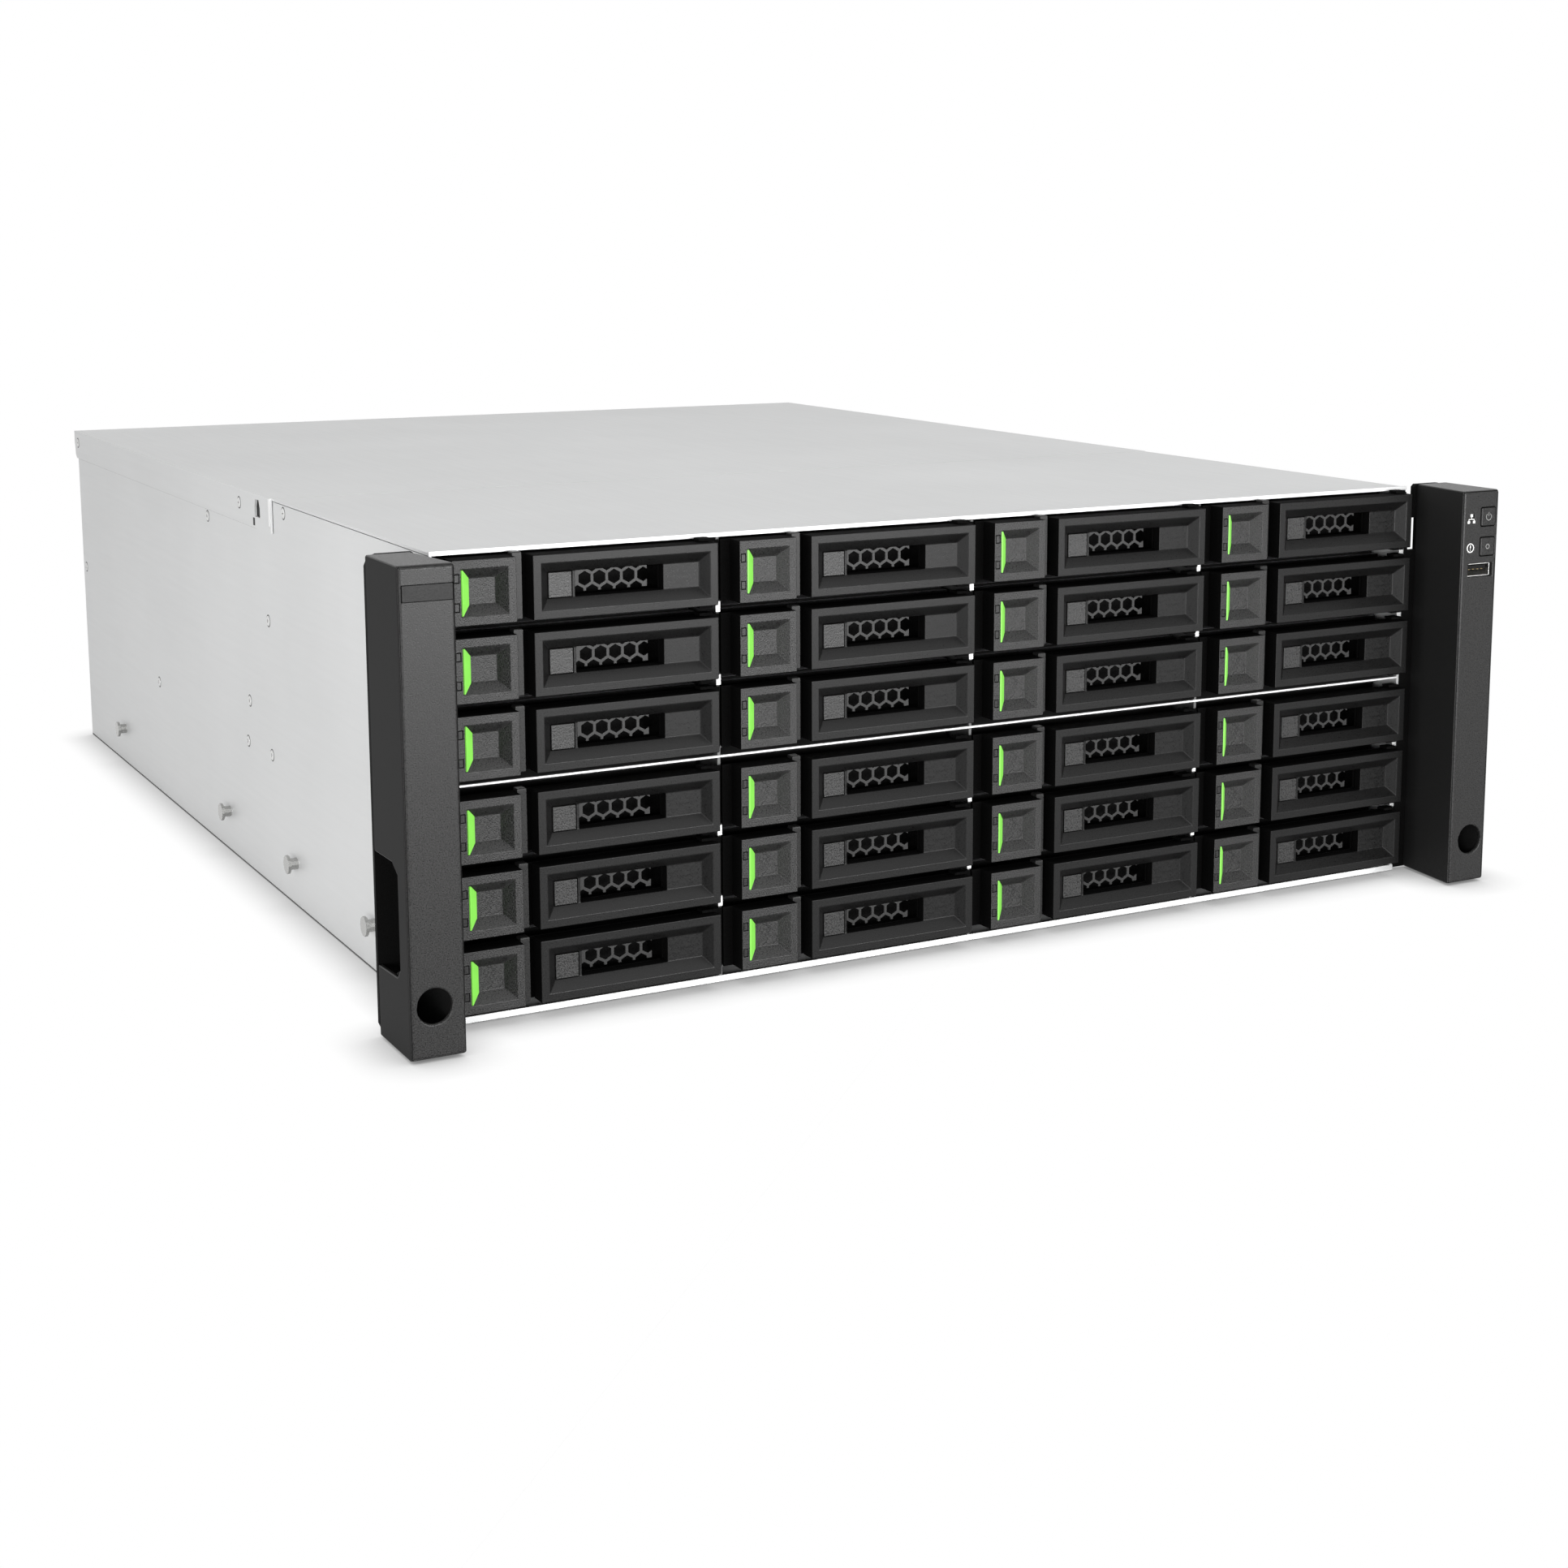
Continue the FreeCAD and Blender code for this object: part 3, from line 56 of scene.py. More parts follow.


class Paint:
    """A material whose colour, gloss and relief come from noise at the finish's own scale."""

    def __init__(self, name, colour, roughness, metallic=0.0, specular=0.5):
        self.material = bpy.data.materials.new(name)
        self.material.use_nodes = True
        tree = self.material.node_tree
        self.nodes, self.links = tree.nodes, tree.links
        self.shader = self.nodes["Principled BSDF"]
        self.colour, self.roughness = colour, roughness
        self.shader.inputs["Base Color"].default_value = (*colour, 1)
        self.shader.inputs["Roughness"].default_value = roughness
        self.shader.inputs["Metallic"].default_value = metallic
        self.shader.inputs["Specular IOR Level"].default_value = specular
        self.place = self.nodes.new("ShaderNodeTexCoord").outputs["Object"]

    def noise(self, scale, detail=2.0, stretch=(1, 1, 1)):
        """Noise with this many features to the metre."""
        mapping = self.nodes.new("ShaderNodeMapping")
        mapping.inputs["Scale"].default_value = stretch
        texture = self.nodes.new("ShaderNodeTexNoise")
        texture.inputs["Scale"].default_value = scale
        texture.inputs["Detail"].default_value = detail
        self.links.new(self.place, mapping.inputs["Vector"])
        self.links.new(mapping.outputs["Vector"], texture.inputs["Vector"])
        return texture.outputs["Fac"]

    def vary_colour(self, source, low, high, contrast=0.25):
        """Mixes two tones of the colour, low and high times as bright."""
        ramp = self.nodes.new("ShaderNodeValToRGB")
        ends = ramp.color_ramp.elements
        ends[0].position, ends[1].position = 0.5 - contrast, 0.5 + contrast
        ends[0].color = (*[c * low for c in self.colour], 1)
        ends[1].color = (*[min(c * high, 1) for c in self.colour], 1)
        self.links.new(source, ramp.inputs["Fac"])
        self.links.new(ramp.outputs["Color"], self.shader.inputs["Base Color"])
        return self

    def vary_gloss(self, source, spread):
        remap = self.nodes.new("ShaderNodeMapRange")
        remap.inputs["From Min"].default_value = 0.3
        remap.inputs["From Max"].default_value = 0.7
        remap.inputs["To Min"].default_value = self.roughness - spread
        remap.inputs["To Max"].default_value = self.roughness + spread
        self.links.new(source, remap.inputs["Value"])
        self.links.new(remap.outputs["Result"], self.shader.inputs["Roughness"])
        return self

    def relief(self, source, depth):
        bump = self.nodes.new("ShaderNodeBump")
        bump.inputs["Strength"].default_value = 1.0
        bump.inputs["Distance"].default_value = depth * MM
        self.links.new(source, bump.inputs["Height"])
        self.links.new(bump.outputs["Normal"], self.shader.inputs["Normal"])
        return self

    def shade_sides(self, factor, roughness):
        """Painted shade: faces turned left or right are darker, and smoother."""
        normal = self.nodes.new("ShaderNodeSeparateXYZ")
        self.links.new(self.nodes.new("ShaderNodeTexCoord").outputs["Normal"], normal.inputs[0])
        size = self.nodes.new("ShaderNodeMath")
        size.operation = "ABSOLUTE"
        side = self.nodes.new("ShaderNodeMath")
        side.operation = "GREATER_THAN"
        side.inputs[1].default_value = SIDEWAYS
        self.links.new(normal.outputs["X"], size.inputs[0])
        self.links.new(size.outputs[0], side.inputs[0])
        tone = self.nodes.new("ShaderNodeMix")
        tone.data_type = "RGBA"
        gloss = self.nodes.new("ShaderNodeMix")
        darker = (*[c * factor for c in self.colour], 1)
        for mix, socket, plain in ((tone, "Base Color", darker), (gloss, "Roughness", roughness)):
            target = self.shader.inputs[socket]
            source = target.links[0].from_socket
            place = [item for item in mix.inputs if item.name in ("A", "B") and item.enabled]
            self.links.new(side.outputs[0], mix.inputs["Factor"])
            self.links.new(source, place[0])
            place[1].default_value = plain
            self.links.new([item for item in mix.outputs if item.enabled][0], target)
        return self


def moulded(name, shade, roughness=0.5, grain=0.05, specular=0.3, speckle=(0.6, 1.5)):
    """Spark-textured injection moulding."""
    paint = Paint(name, (shade, shade * 0.99, shade * 0.985), roughness, specular=specular)
    fine = paint.noise(SPARK, 2)
    return paint.vary_colour(fine, *speckle, 0.15).vary_gloss(fine, 0.1).relief(fine, grain)


def sheet_steel(name, colour, roughness=0.5, grain=0.012):
    """Zinc-plated sheet: faint rolling lines along the sheet and cloudy plating."""
    paint = Paint(name, colour, roughness, metallic=0.35)
    cloud = paint.noise(CLOUD, 4)
    lines = paint.noise(ROLLED, 4, (1, 0.04, 1))
    return paint.vary_colour(cloud, 0.96, 1.03).vary_gloss(lines, 0.05).relief(lines, grain)


def plain_metal(name, colour, roughness):
    paint = Paint(name, colour, roughness, metallic=1.0)
    marks = paint.noise(BRUSHED, 4)
    return paint.vary_colour(marks, 0.9, 1.05).vary_gloss(marks, 0.06).relief(marks, 0.01)


def pale_edge(name):
    """Painted highlight: sheet edges made bright as if catching the light, with faint shear marks."""
    paint = Paint(name, (0.80, 0.80, 0.80), 0.45, metallic=0.2)
    marks = paint.noise(SHEARED, 3)
    return paint.vary_colour(marks, 0.94, 1.04).vary_gloss(marks, 0.05)


def lit_green():
    """The carriers' light pipe: glossy green that glows a little."""
    paint = Paint("light_pipe_green", (0.18, 0.56, 0.07), 0.35)
    core = paint.noise(CORE, 2)
    paint.vary_colour(core, 0.92, 1.06)
    paint.shader.inputs["Emission Color"].default_value = (0.20, 0.58, 0.07, 1)
    paint.shader.inputs["Emission Strength"].default_value = 0.22
    return paint


def circuit():
    paint = Paint("solder_mask", (0.02, 0.10, 0.05), 0.35)
    tracks = paint.noise(TRACKS, 2, (1, 1, 0.1))
    return paint.vary_colour(tracks, 0.7, 1.5, 0.08).vary_gloss(tracks, 0.05)


def print_ink(name, shade):
    paint = Paint(name, (shade, shade, shade * 0.98), 0.5)
    ink = paint.noise(INK, 2)
    return paint.vary_colour(ink, 0.85, 1.05).vary_gloss(ink, 0.05)


PAINTS = {
    "steel": sheet_steel("zinc_sheet", (0.66, 0.665, 0.665)),
    "inner_steel": sheet_steel("zinc_sheet_inside", (0.56, 0.57, 0.57)),
    "highlight_steel": pale_edge("edge_painted_highlight"),
    "rivet": plain_metal("rivet_metal", (0.72, 0.72, 0.71), 0.32),
    "case_steel": sheet_steel("case_sheet", (0.17, 0.17, 0.175)),
    "shaded_steel": sheet_steel("shaded_sheet", (0.09, 0.09, 0.09)),
    "rivet_steel": sheet_steel("rivet_sheet", (0.70, 0.70, 0.695), 0.4),
    # painted shadow: dark strips for the shadow lines under edges and round fastener heads
    "shadow_line": moulded("groove_shade", 0.10, 0.7, 0.01, 0.1),
    "stud": plain_metal("stud_metal", (0.42, 0.42, 0.41), 0.28),
    "gold": plain_metal("contact_metal", (0.75, 0.58, 0.28), 0.3),
    # painted shade: the drives' front and back faces near black, darker than a real drive
    "drive": moulded("drive_painted_shade", 0.004, 0.6, 0.02, 0.03),
    "black_steel": moulded("black_coated_steel", 0.004, 0.6, 0.02, 0.04),
    "bezel": moulded("bezel_moulding", 0.009, 0.36, 0.12, 0.24, (0.1, 3.4)),
    "lever": moulded("lever_moulding", 0.004, 0.36, 0.02, 0.18, (0.5, 1.6)),
    "post": moulded("post_moulding", 0.012, 0.35, 0.01, 0.2),
    "button": moulded("button_moulding", 0.012, 0.36, 0.09, 0.3, (0.2, 2.4)),
    # near black: the carrier trays' own black, also used as painted shade on sides, hinges, gaps and
    # vent backings
    "tray": moulded("tray_black_and_painted_shade", 0.003, 0.85, 0.02, 0.02),
    # the ear covers' left and right faces carry painted shade
    "ear": moulded("ear_moulding", 0.0115, 0.36, 0.04, 0.22, (0.5, 1.9)).shade_sides(0.6, 0.75),
    "plate": moulded("plate_moulding", 0.006, 0.38, 0.01, 0.16, (0.8, 1.2)),
    "key": moulded("key_moulding", 0.012, 0.35, 0.015, 0.25),
    "black": moulded("black_moulding", 0.006, 0.4, 0.02, 0.1),
    "vent": moulded("vent_sheet", 0.024, 0.42, 0.01, 0.25, (0.8, 1.25)),
    "green": lit_green(),
    "circuit": circuit(),
    "print": print_ink("white_print", 0.62),
    "mark": print_ink("grey_print", 0.16),
}


def coat(obj, paint):
    obj.data.materials.clear()
    obj.data.materials.append(PAINTS[paint].material)


# ---------------------------------------------------------------- mesh building

SQUARE_ON = 0.99  # how far a normal leans along x or z before its face takes the side paint, which is near-black painted shade on the bezel and lever


class Form:
    """A closed mesh built from loops of points, in millimetres."""

    def __init__(self):
        self.mesh = bmesh.new()

    def loop(self, points):
        return [self.mesh.verts.new(point) for point in points]

    def edges(self, loop):
        found = []
        for here, after in zip(loop, loop[1:] + loop[:1]):
            found.append(self.mesh.edges.get((here, after)) or self.mesh.edges.new((here, after)))
        return found

    def skin(self, *loops):
        """Quads between each pair of loops, which have the same number of points."""
        for first, second in zip(loops, loops[1:]):
            count = len(first)
            for i in range(count):
                j = (i + 1) % count
                self.mesh.faces.new((first[i], first[j], second[j], second[i]))

    def fill(self, *loops):
        """A flat face bounded by the first loop, with the others as holes."""
        edges = [edge for loop in loops for edge in self.edges(loop)]
        bmesh.ops.triangle_fill(self.mesh, edges=edges, use_beauty=True)

    def finish(self, name, paint, bevel=0.0, segments=2, side_paint=None):
        """The mesh in metres, its edges rounded by a bevel of this width. The side paint, if there is
        one, covers the faces that look left, right, up or down."""
        bmesh.ops.recalc_face_normals(self.mesh, faces=self.mesh.faces)
        for face in self.mesh.faces:
            turned_away = max(abs(face.normal.x), abs(face.normal.z)) > SQUARE_ON
            face.material_index = int(side_paint is not None and turned_away)
        bmesh.ops.scale(self.mesh, vec=(MM, MM, MM), verts=self.mesh.verts)
        mesh = bpy.data.meshes.new(name)
        self.mesh.to_mesh(mesh)
        self.mesh.free()
        mesh.materials.append(PAINTS[paint].material)
        if side_paint:
            mesh.materials.append(PAINTS[side_paint].material)
        return rounded(mesh, bevel, segments) if bevel else shaded(mesh)


def shaded(mesh, angle=30):
    mesh.shade_smooth()
    mesh.set_sharp_from_angle(angle=radians(angle))
    return mesh


def rounded(mesh, width, segments):
    """The mesh with its sharp edges bevelled."""
    holder = bpy.data.objects.new("holder", mesh)
    bpy.context.scene.collection.objects.link(holder)
    bevel = holder.modifiers.new("edges", "BEVEL")
    bevel.width = width * MM
    bevel.segments = segments
    bevel.limit_method = "ANGLE"
    bevel.angle_limit = radians(28)
    bevel.harden_normals = True
    mesh.shade_smooth()
    graph = bpy.context.evaluated_depsgraph_get()
    result = bpy.data.meshes.new_from_object(holder.evaluated_get(graph))
    result.name = mesh.name + "_rounded"
    bpy.data.objects.remove(holder)
    return result


def rectangle(left, right, low, high, y):
    """Corners, seen from the front."""
    return [(left, y, low), (right, y, low), (right, y, high), (left, y, high)]


def disc(x, z, radius, y, count=24):
    turns = [2 * pi * i / count for i in range(count)]
    return [(x + radius * cos(turn), y, z + radius * sin(turn)) for turn in turns]


def hexagon(x, z, flats, y):
    """A hexagon with upright sides."""
    return [
        (x + flats / sqrt(3) * sin(turn), y, z + flats / sqrt(3) * cos(turn))
        for turn in (radians(60 * i) for i in range(6))
    ]


def prism(form, front, back, holes=()):
    """A plate between two loops, pierced by pairs of loops."""
    near, far = form.loop(front), form.loop(back)
    form.skin(near, far)
    near_holes, far_holes = [], []
    for hole_front, hole_back in holes:
        near_holes.append(form.loop(hole_front))
        far_holes.append(form.loop(hole_back))
        form.skin(near_holes[-1], far_holes[-1])
    form.fill(near, *near_holes)
    form.fill(far, *far_holes)


def block(form, low, high):
    prism(
        form,
        rectangle(low[0], high[0], low[2], high[2], low[1]),
        rectangle(low[0], high[0], low[2], high[2], high[1]),
    )


def put(name, mesh, place, body, turn=None):
    """An object with that mesh at a place in metres, which moves with the body."""
    obj = bpy.data.objects.new(name, mesh)
    bpy.context.scene.collection.objects.link(obj)
    spot = Matrix.Translation(Vector(place))
    obj.matrix_world = spot @ turn if turn else spot
    bpy.context.view_layer.update()
    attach(obj, body)
    return obj


# ---------------------------------------------------------------- drive carriers

BEZEL_FRONT, BEZEL_TALL = -10.0, 22.8
TRAY_FRONT = -1.8
WINDOWS = (15.0, 5.0)
BLOCK = (-50.4, -27.1)
POST_RIGHT = -23.6
LEVER = (-21.0, 50.2)
RIM, DEEP = 3.1, 3.7
FLOOR = BEZEL_FRONT + DEEP
THROAT_LOW, THROAT_HIGH = RIM + DEEP, BEZEL_TALL - RIM - DEEP
BLOCK_INNER = -30.0
BUTTON = (-14.1, -5.3)
OPENINGS = (-14.2, -5.0, -3.9, 30.0)
HINGE = (46.9, -4.3)
DRIVE_TALL, DRIVE_SINK = 26.1, 2.85


def bezel_block():
    """The status block: a square recess with sloping sides, and two small light windows."""
    form = Form()
    left, right = BLOCK
    rear = form.loop(rectangle(left, right, 0, BEZEL_TALL, TRAY_FRONT))
    front = form.loop(rectangle(left, right, 0, BEZEL_TALL, BEZEL_FRONT))
    mouth = (left + RIM, BLOCK_INNER)
    lip = form.loop(rectangle(*mouth, RIM, BEZEL_TALL - RIM, BEZEL_FRONT))
    floor = form.loop(rectangle(mouth[0] + DEEP, mouth[1] - DEEP, THROAT_LOW, THROAT_HIGH, FLOOR))
    windows = []
    for low in WINDOWS:
        outside = form.loop(rectangle(-49.8, -47.9, low, low + 3, BEZEL_FRONT))
        bottom = form.loop(rectangle(-49.8, -47.9, low, low + 3, BEZEL_FRONT + 0.5))
        form.skin(outside, bottom)
        form.fill(bottom)
        windows.append(outside)
    form.skin(rear, front)
    form.fill(front, lip, *windows)
    form.skin(lip, floor)
    form.fill(floor)
    form.fill(rear)
    # faces looking left, right, up or down take the near-black tray paint as painted shade
    return form.finish("bezel_block", "bezel", 0.3, 2, "tray")


def post():
    """The tall upright beside the block that the lever's free end closes against."""
    form = Form()
    block(form, (BLOCK[1], BEZEL_FRONT + 4, 0), (POST_RIGHT, TRAY_FRONT, BEZEL_TALL + 1.2))
    return form.finish("post", "post", 0.5, 3)


def light_window():
    """The two lenses that sit in the block's small windows."""
    form = Form()
    for low in WINDOWS:
        block(form, (-49.6, BEZEL_FRONT + 0.1, low + 0.2), (-48.1, BEZEL_FRONT + 0.5, low + 2.8))
    return form.finish("light_window", "key", 0.1)


def light_bar():
    """The light pipe on the recess's left slope, cut off along the mitres at both ends."""
    form = Form()
    left, tall, rise = BLOCK[0] + RIM, BEZEL_TALL, 0.35
    rows = []
    for z, reach in ((3.45, 0.4), (6.7, 3.65), (tall - 6.7, 3.65), (tall - 3.45, 0.4)):
        rows.append(form.loop([
            (left + along + up, BEZEL_FRONT + along - up, z)
            for along, up in ((0.05, -0.4), (0.05, rise), (reach, rise), (reach, -0.4))
        ]))
    form.skin(*rows)
    form.fill(rows[0])
    form.fill(rows[-1])
    return form.finish("light_bar", "green", 0.12, 2)


def lever_panel():
    """The cam handle: a frame with sloping sides round a button opening and a vent window."""
    form = Form()
    left, right = LEVER
    back, relief = -2.6, BEZEL_FRONT + 3.5
    new_face = form.mesh.faces.new
    front = form.loop(rectangle(left, right, 0, BEZEL_TALL, BEZEL_FRONT))
    middle = form.loop(rectangle(left, right, 0, BEZEL_TALL, relief))
    rear = form.loop(rectangle(left, right - 2.7, 0, BEZEL_TALL, back))
    lip = form.loop(rectangle(left + RIM, right - RIM, RIM, BEZEL_TALL - RIM, BEZEL_FRONT))
    stations = (*OPENINGS, right - RIM - DEEP + 0.7)
    low = form.loop([(x, FLOOR, THROAT_LOW) for x in stations])
    high = form.loop([(x, FLOOR, THROAT_HIGH) for x in stations])
    form.skin(front, middle, rear)
    form.skin(front, lip)
    new_face((lip[0], lip[1], *reversed(low)))
    new_face((lip[3], lip[2], *reversed(high)))
    new_face((lip[0], low[0], high[0], lip[3]))
    new_face((lip[1], low[4], high[4], lip[2]))
    new_face((low[1], low[2], high[2], high[1]))
    new_face((low[3], low[4], high[4], high[3]))
    far = []
    for start in (0, 2):
        near = [low[start], low[start + 1], high[start + 1], high[start]]
        far.append(form.loop([(vert.co.x, back, vert.co.z) for vert in near]))
        form.skin(near, far[-1])
    form.fill(rear, *far)
    # faces looking left, right, up or down take the near-black tray paint as painted shade
    return form.finish("lever_panel", "lever", 0.3, 2, "tray")


def release_button():
    """The push button, a raised square with soft edges."""
    form = Form()
    left, right = BUTTON
    middle, half = BEZEL_TALL / 2, 4.5
    low, high = middle - half, middle + half
    face = FLOOR - 0.4
    back = form.loop(rectangle(left, right, low, high, face + 2.2))
    front = form.loop(rectangle(left, right, low, high, face))
    form.skin(back, front)
    form.fill(back)
    form.fill(front)
    return form.finish("release_button", "button", 0.25)


def honeycomb():
    """The perforated sheet: whole cells between two rows that its edges cut, the last cell open."""
    form = Form()
    pitch, flats, cells = 5.66, 4.5, 5
    first, middle = 2.0, 12.1
    half, tip = flats / 2, flats / sqrt(3)
    below, above = middle - pitch * sqrt(3) / 2, middle + pitch * sqrt(3) / 2
    edge, high = below + tip / 2 - 0.9, above + 1.4
    last = first + pitch * (cells - 1)
    left, reach = first - pitch, 1.5
    right = last + reach
    slope = (tip / 2) / half
    outer = [
        (right, edge), (right, middle - tip + reach * slope), (last, middle - tip),
        (last - half, middle - tip / 2), (last - half, middle + tip / 2), (last, middle + tip),
        (right, middle + tip - reach * slope), (right, high), (left, high), (left, edge),
    ]
    for i in range(cells):
        x = first + pitch * (i - 0.5)
        outer += [(x - half, edge), (x - half, below + tip / 2), (x, below + tip)]
        outer += [(x + half, below + tip / 2), (x + half, edge)]
    holes = [
        [(x, z) for x, _, z in hexagon(first + pitch * i, middle, flats, 0)] for i in range(cells - 1)
    ]
    for i in range(1, cells):
        x = first + pitch * (i - 0.5)
        holes.append([
            (x - half, above + 0.9), (x - half, above - tip / 2), (x, above - tip),
            (x + half, above - tip / 2), (x + half, above + 0.9),
        ])
    front, back = -0.9, -0.1
    prism(
        form,
        [(x, front, z) for x, z in outer],
        [(x, back, z) for x, z in outer],
        [([(x, front, z) for x, z in hole], [(x, back, z) for x, z in hole]) for hole in holes],
    )
    return form.finish("honeycomb", "vent", 0.12, 1)


def tray_frame():
    """The tray behind the bezel: front plate with a window, and two side rails."""
    form = Form()
    front, back = TRAY_FRONT, -0.9
    window = (*OPENINGS[2:], THROAT_LOW, THROAT_HIGH)
    prism(
        form,
        rectangle(-54.3, 54.3, 0, BEZEL_TALL, front),
        rectangle(-54.3, 54.3, 0, BEZEL_TALL, back),
        [(rectangle(*window, front), rectangle(*window, back))],
    )
    for side in (-1, 1):
        near, far = sorted((51.0 * side, 53.6 * side))
        block(form, (near, back, 0.6), (far, 160, 13))
    return form.finish("tray_frame", "tray", 0.25)


def hinge_metal():
    """The lever's hinge lugs and pin, metal given the near-black tray paint as painted shade."""
    form = Form()
    x, y = HINGE
    for low in (BEZEL_TALL + 0.3, -1.3):
        block(form, (x - 2.6, y - 2, low), (x + 2.6, TRAY_FRONT, low + 1))
    turns = [2 * pi * i / 16 for i in range(16)]
    ends = [
        form.loop([(x + cos(turn), y + sin(turn), z) for turn in turns])
        for z in (-1.3, BEZEL_TALL + 1.3)
    ]
    form.skin(*ends)
    form.fill(ends[0])
    form.fill(ends[1])
    return form.finish("hinge_metal", "tray", 0.2)


def drive_case():
    """A 3.5 inch drive: a casting with a raised lid and a narrower underside."""
    form = Form()
    low, high = -DRIVE_SINK, DRIVE_TALL - DRIVE_SINK
    block(form, (-50.8, 11, low + 3), (50.8, 158, high - 1.2))
    block(form, (-49.2, 13, high - 1.2), (49.2, 156, high))
    block(form, (-47, 16, low), (47, 155, low + 3))
    # front and back faces take the near-black painted shade, the others the case's own grey
    return form.finish("drive_case", "drive", 0.4, side_paint="case_steel")


def dress_carriers():
    parts = {
        "bezel": bezel_block(),
        "post": post(),
        "window": light_window(),
        "light": light_bar(),
        "vent": honeycomb(),
        "tray": tray_frame(),
        "hinge": hinge_metal(),
        "drive": drive_case(),
    }
    lever, button = lever_panel(), release_button()
    for row in range(1, 7):
        for column in range(1, 5):
            node = f"carrier_r{row}c{column}"
            low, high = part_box(node)
            place = ((low.x + high.x) / 2, 0, low.z + DRIVE_SINK * MM)
            carried = [put(f"{key}_r{row}c{column}", mesh, place, node) for key, mesh in parts.items()]
            lever_body = f"carrier_lever_c{column}" if row == 1 else node
            button_body = f"lever_button_c{column}" if row == 1 else node
            handle = put(f"lever_r{row}c{column}", lever, place, lever_body)
            press = put(f"button_r{row}c{column}", button, place, button_body)
            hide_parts(node)
            if row == 1:
                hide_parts(lever_body)
                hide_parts(button_body)


# ---------------------------------------------------------------- ears

EAR_FACE, KEY_FACE = -33.0, -33.3
KEYS = {"power_button": 158.7, "locate_button": 146.1}
SIDE_WALL, COVER_WALL = 219.0, 220.3
ROWS = (144.3, 117.15, 90.0, 60.4, 33.25, 6.1)
COLUMN_PITCH = 109.2


def on_chassis(form, name, paint, bevel=0.0):
    return put(name, form.finish(name, paint, bevel), (0, 0, 0), "chassis")


def name_plate():
    """The bare plate let into the top of the left ear, with a fine gap round it shown by a near-black
    block behind, painted shade.
    """
    gap, plate = Form(), Form()
    block(gap, (-240.15, EAR_FACE - 0.05, 157.65), (-222.05, EAR_FACE + 0.4, 163.55))
    on_chassis(gap, "name_plate_shade", "tray")
    block(plate, (-239.9, EAR_FACE - 0.2, 157.9), (-222.3, EAR_FACE + 0.4, 163.3))
    on_chassis(plate, "name_plate", "plate", 0.12)


def printed(form, x, z, y, strokes):
    """Marks that stand a hair above a face: rectangles given from their middle."""
    for left, right, low, high in strokes:
        block(form, (x + left, y, z + low), (x + right, y + 0.05, z + high))


def printed_ring(form, x, z, y, outer, inner, start=0.0, sweep=2 * pi):
    """A ring, or an arc of one."""
    steps = 32
    whole = sweep > 2 * pi - 0.01
    spokes = []
    for i in range(steps if whole else steps + 1):
        turn = start + sweep * i / steps
        spokes.append(form.loop([
            (x + radius * sin(turn), depth, z + radius * cos(turn))
            for radius, depth in ((inner, y), (outer, y), (outer, y + 0.05), (inner, y + 0.05))
        ]))
    if whole:
        form.skin(*spokes, spokes[0])
        return
    form.skin(*spokes)
    form.fill(spokes[0])
    form.fill(spokes[-1])


def ear_marks():
    """Plain signs beside the keys: three joined boxes, and a bar in a ring."""
    form = Form()
    y = EAR_FACE - 0.08
    printed(form, 226.0, 158.3, y, [
        (-0.7, 0.7, 0.7, 1.9), (-0.15, 0.15, -0.2, 0.7), (-1.6, 1.6, -0.4, -0.1),
        (-1.6, -1.3, -0.9, -0.4), (1.3, 1.6, -0.9, -0.4),
        (-2.1, -0.8, -2.0, -0.9), (0.8, 2.1, -2.0, -0.9),
    ])
    printed(form, 226.0, 145.9, y, [(-0.25, 0.25, -0.2, 1.1), (-0.25, 0.25, -1.0, -0.6)])
    printed_ring(form, 226.0, 145.9, y, 2.0, 1.55)
    on_chassis(form, "ear_marks", "print")


def keys():
    """The two square keys, one with the sign for power and one with a small ring."""
    for node, z in KEYS.items():
        form = Form()
        block(form, (231.6, KEY_FACE, z - 3.8), (239.2, -30.0, z + 3.8))
        key = put(f"{node}_key", form.finish(f"{node}_key", "key", 0.5, 3), (0, 0, 0), node)
        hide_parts(node)
        mark = Form()
        if node == "power_button":
            printed(mark, 235.4, z, KEY_FACE - 0.06, [(-0.17, 0.17, 0.3, 1.9)])
            printed_ring(mark, 235.4, z, KEY_FACE - 0.06, 1.6, 1.25, radians(35), radians(290))
        else:
            printed_ring(mark, 235.4, z, KEY_FACE - 0.06, 1.1, 0.75)
        put(f"{node}_mark", mark.finish(f"{node}_mark", "mark"), (0, 0, 0), node)


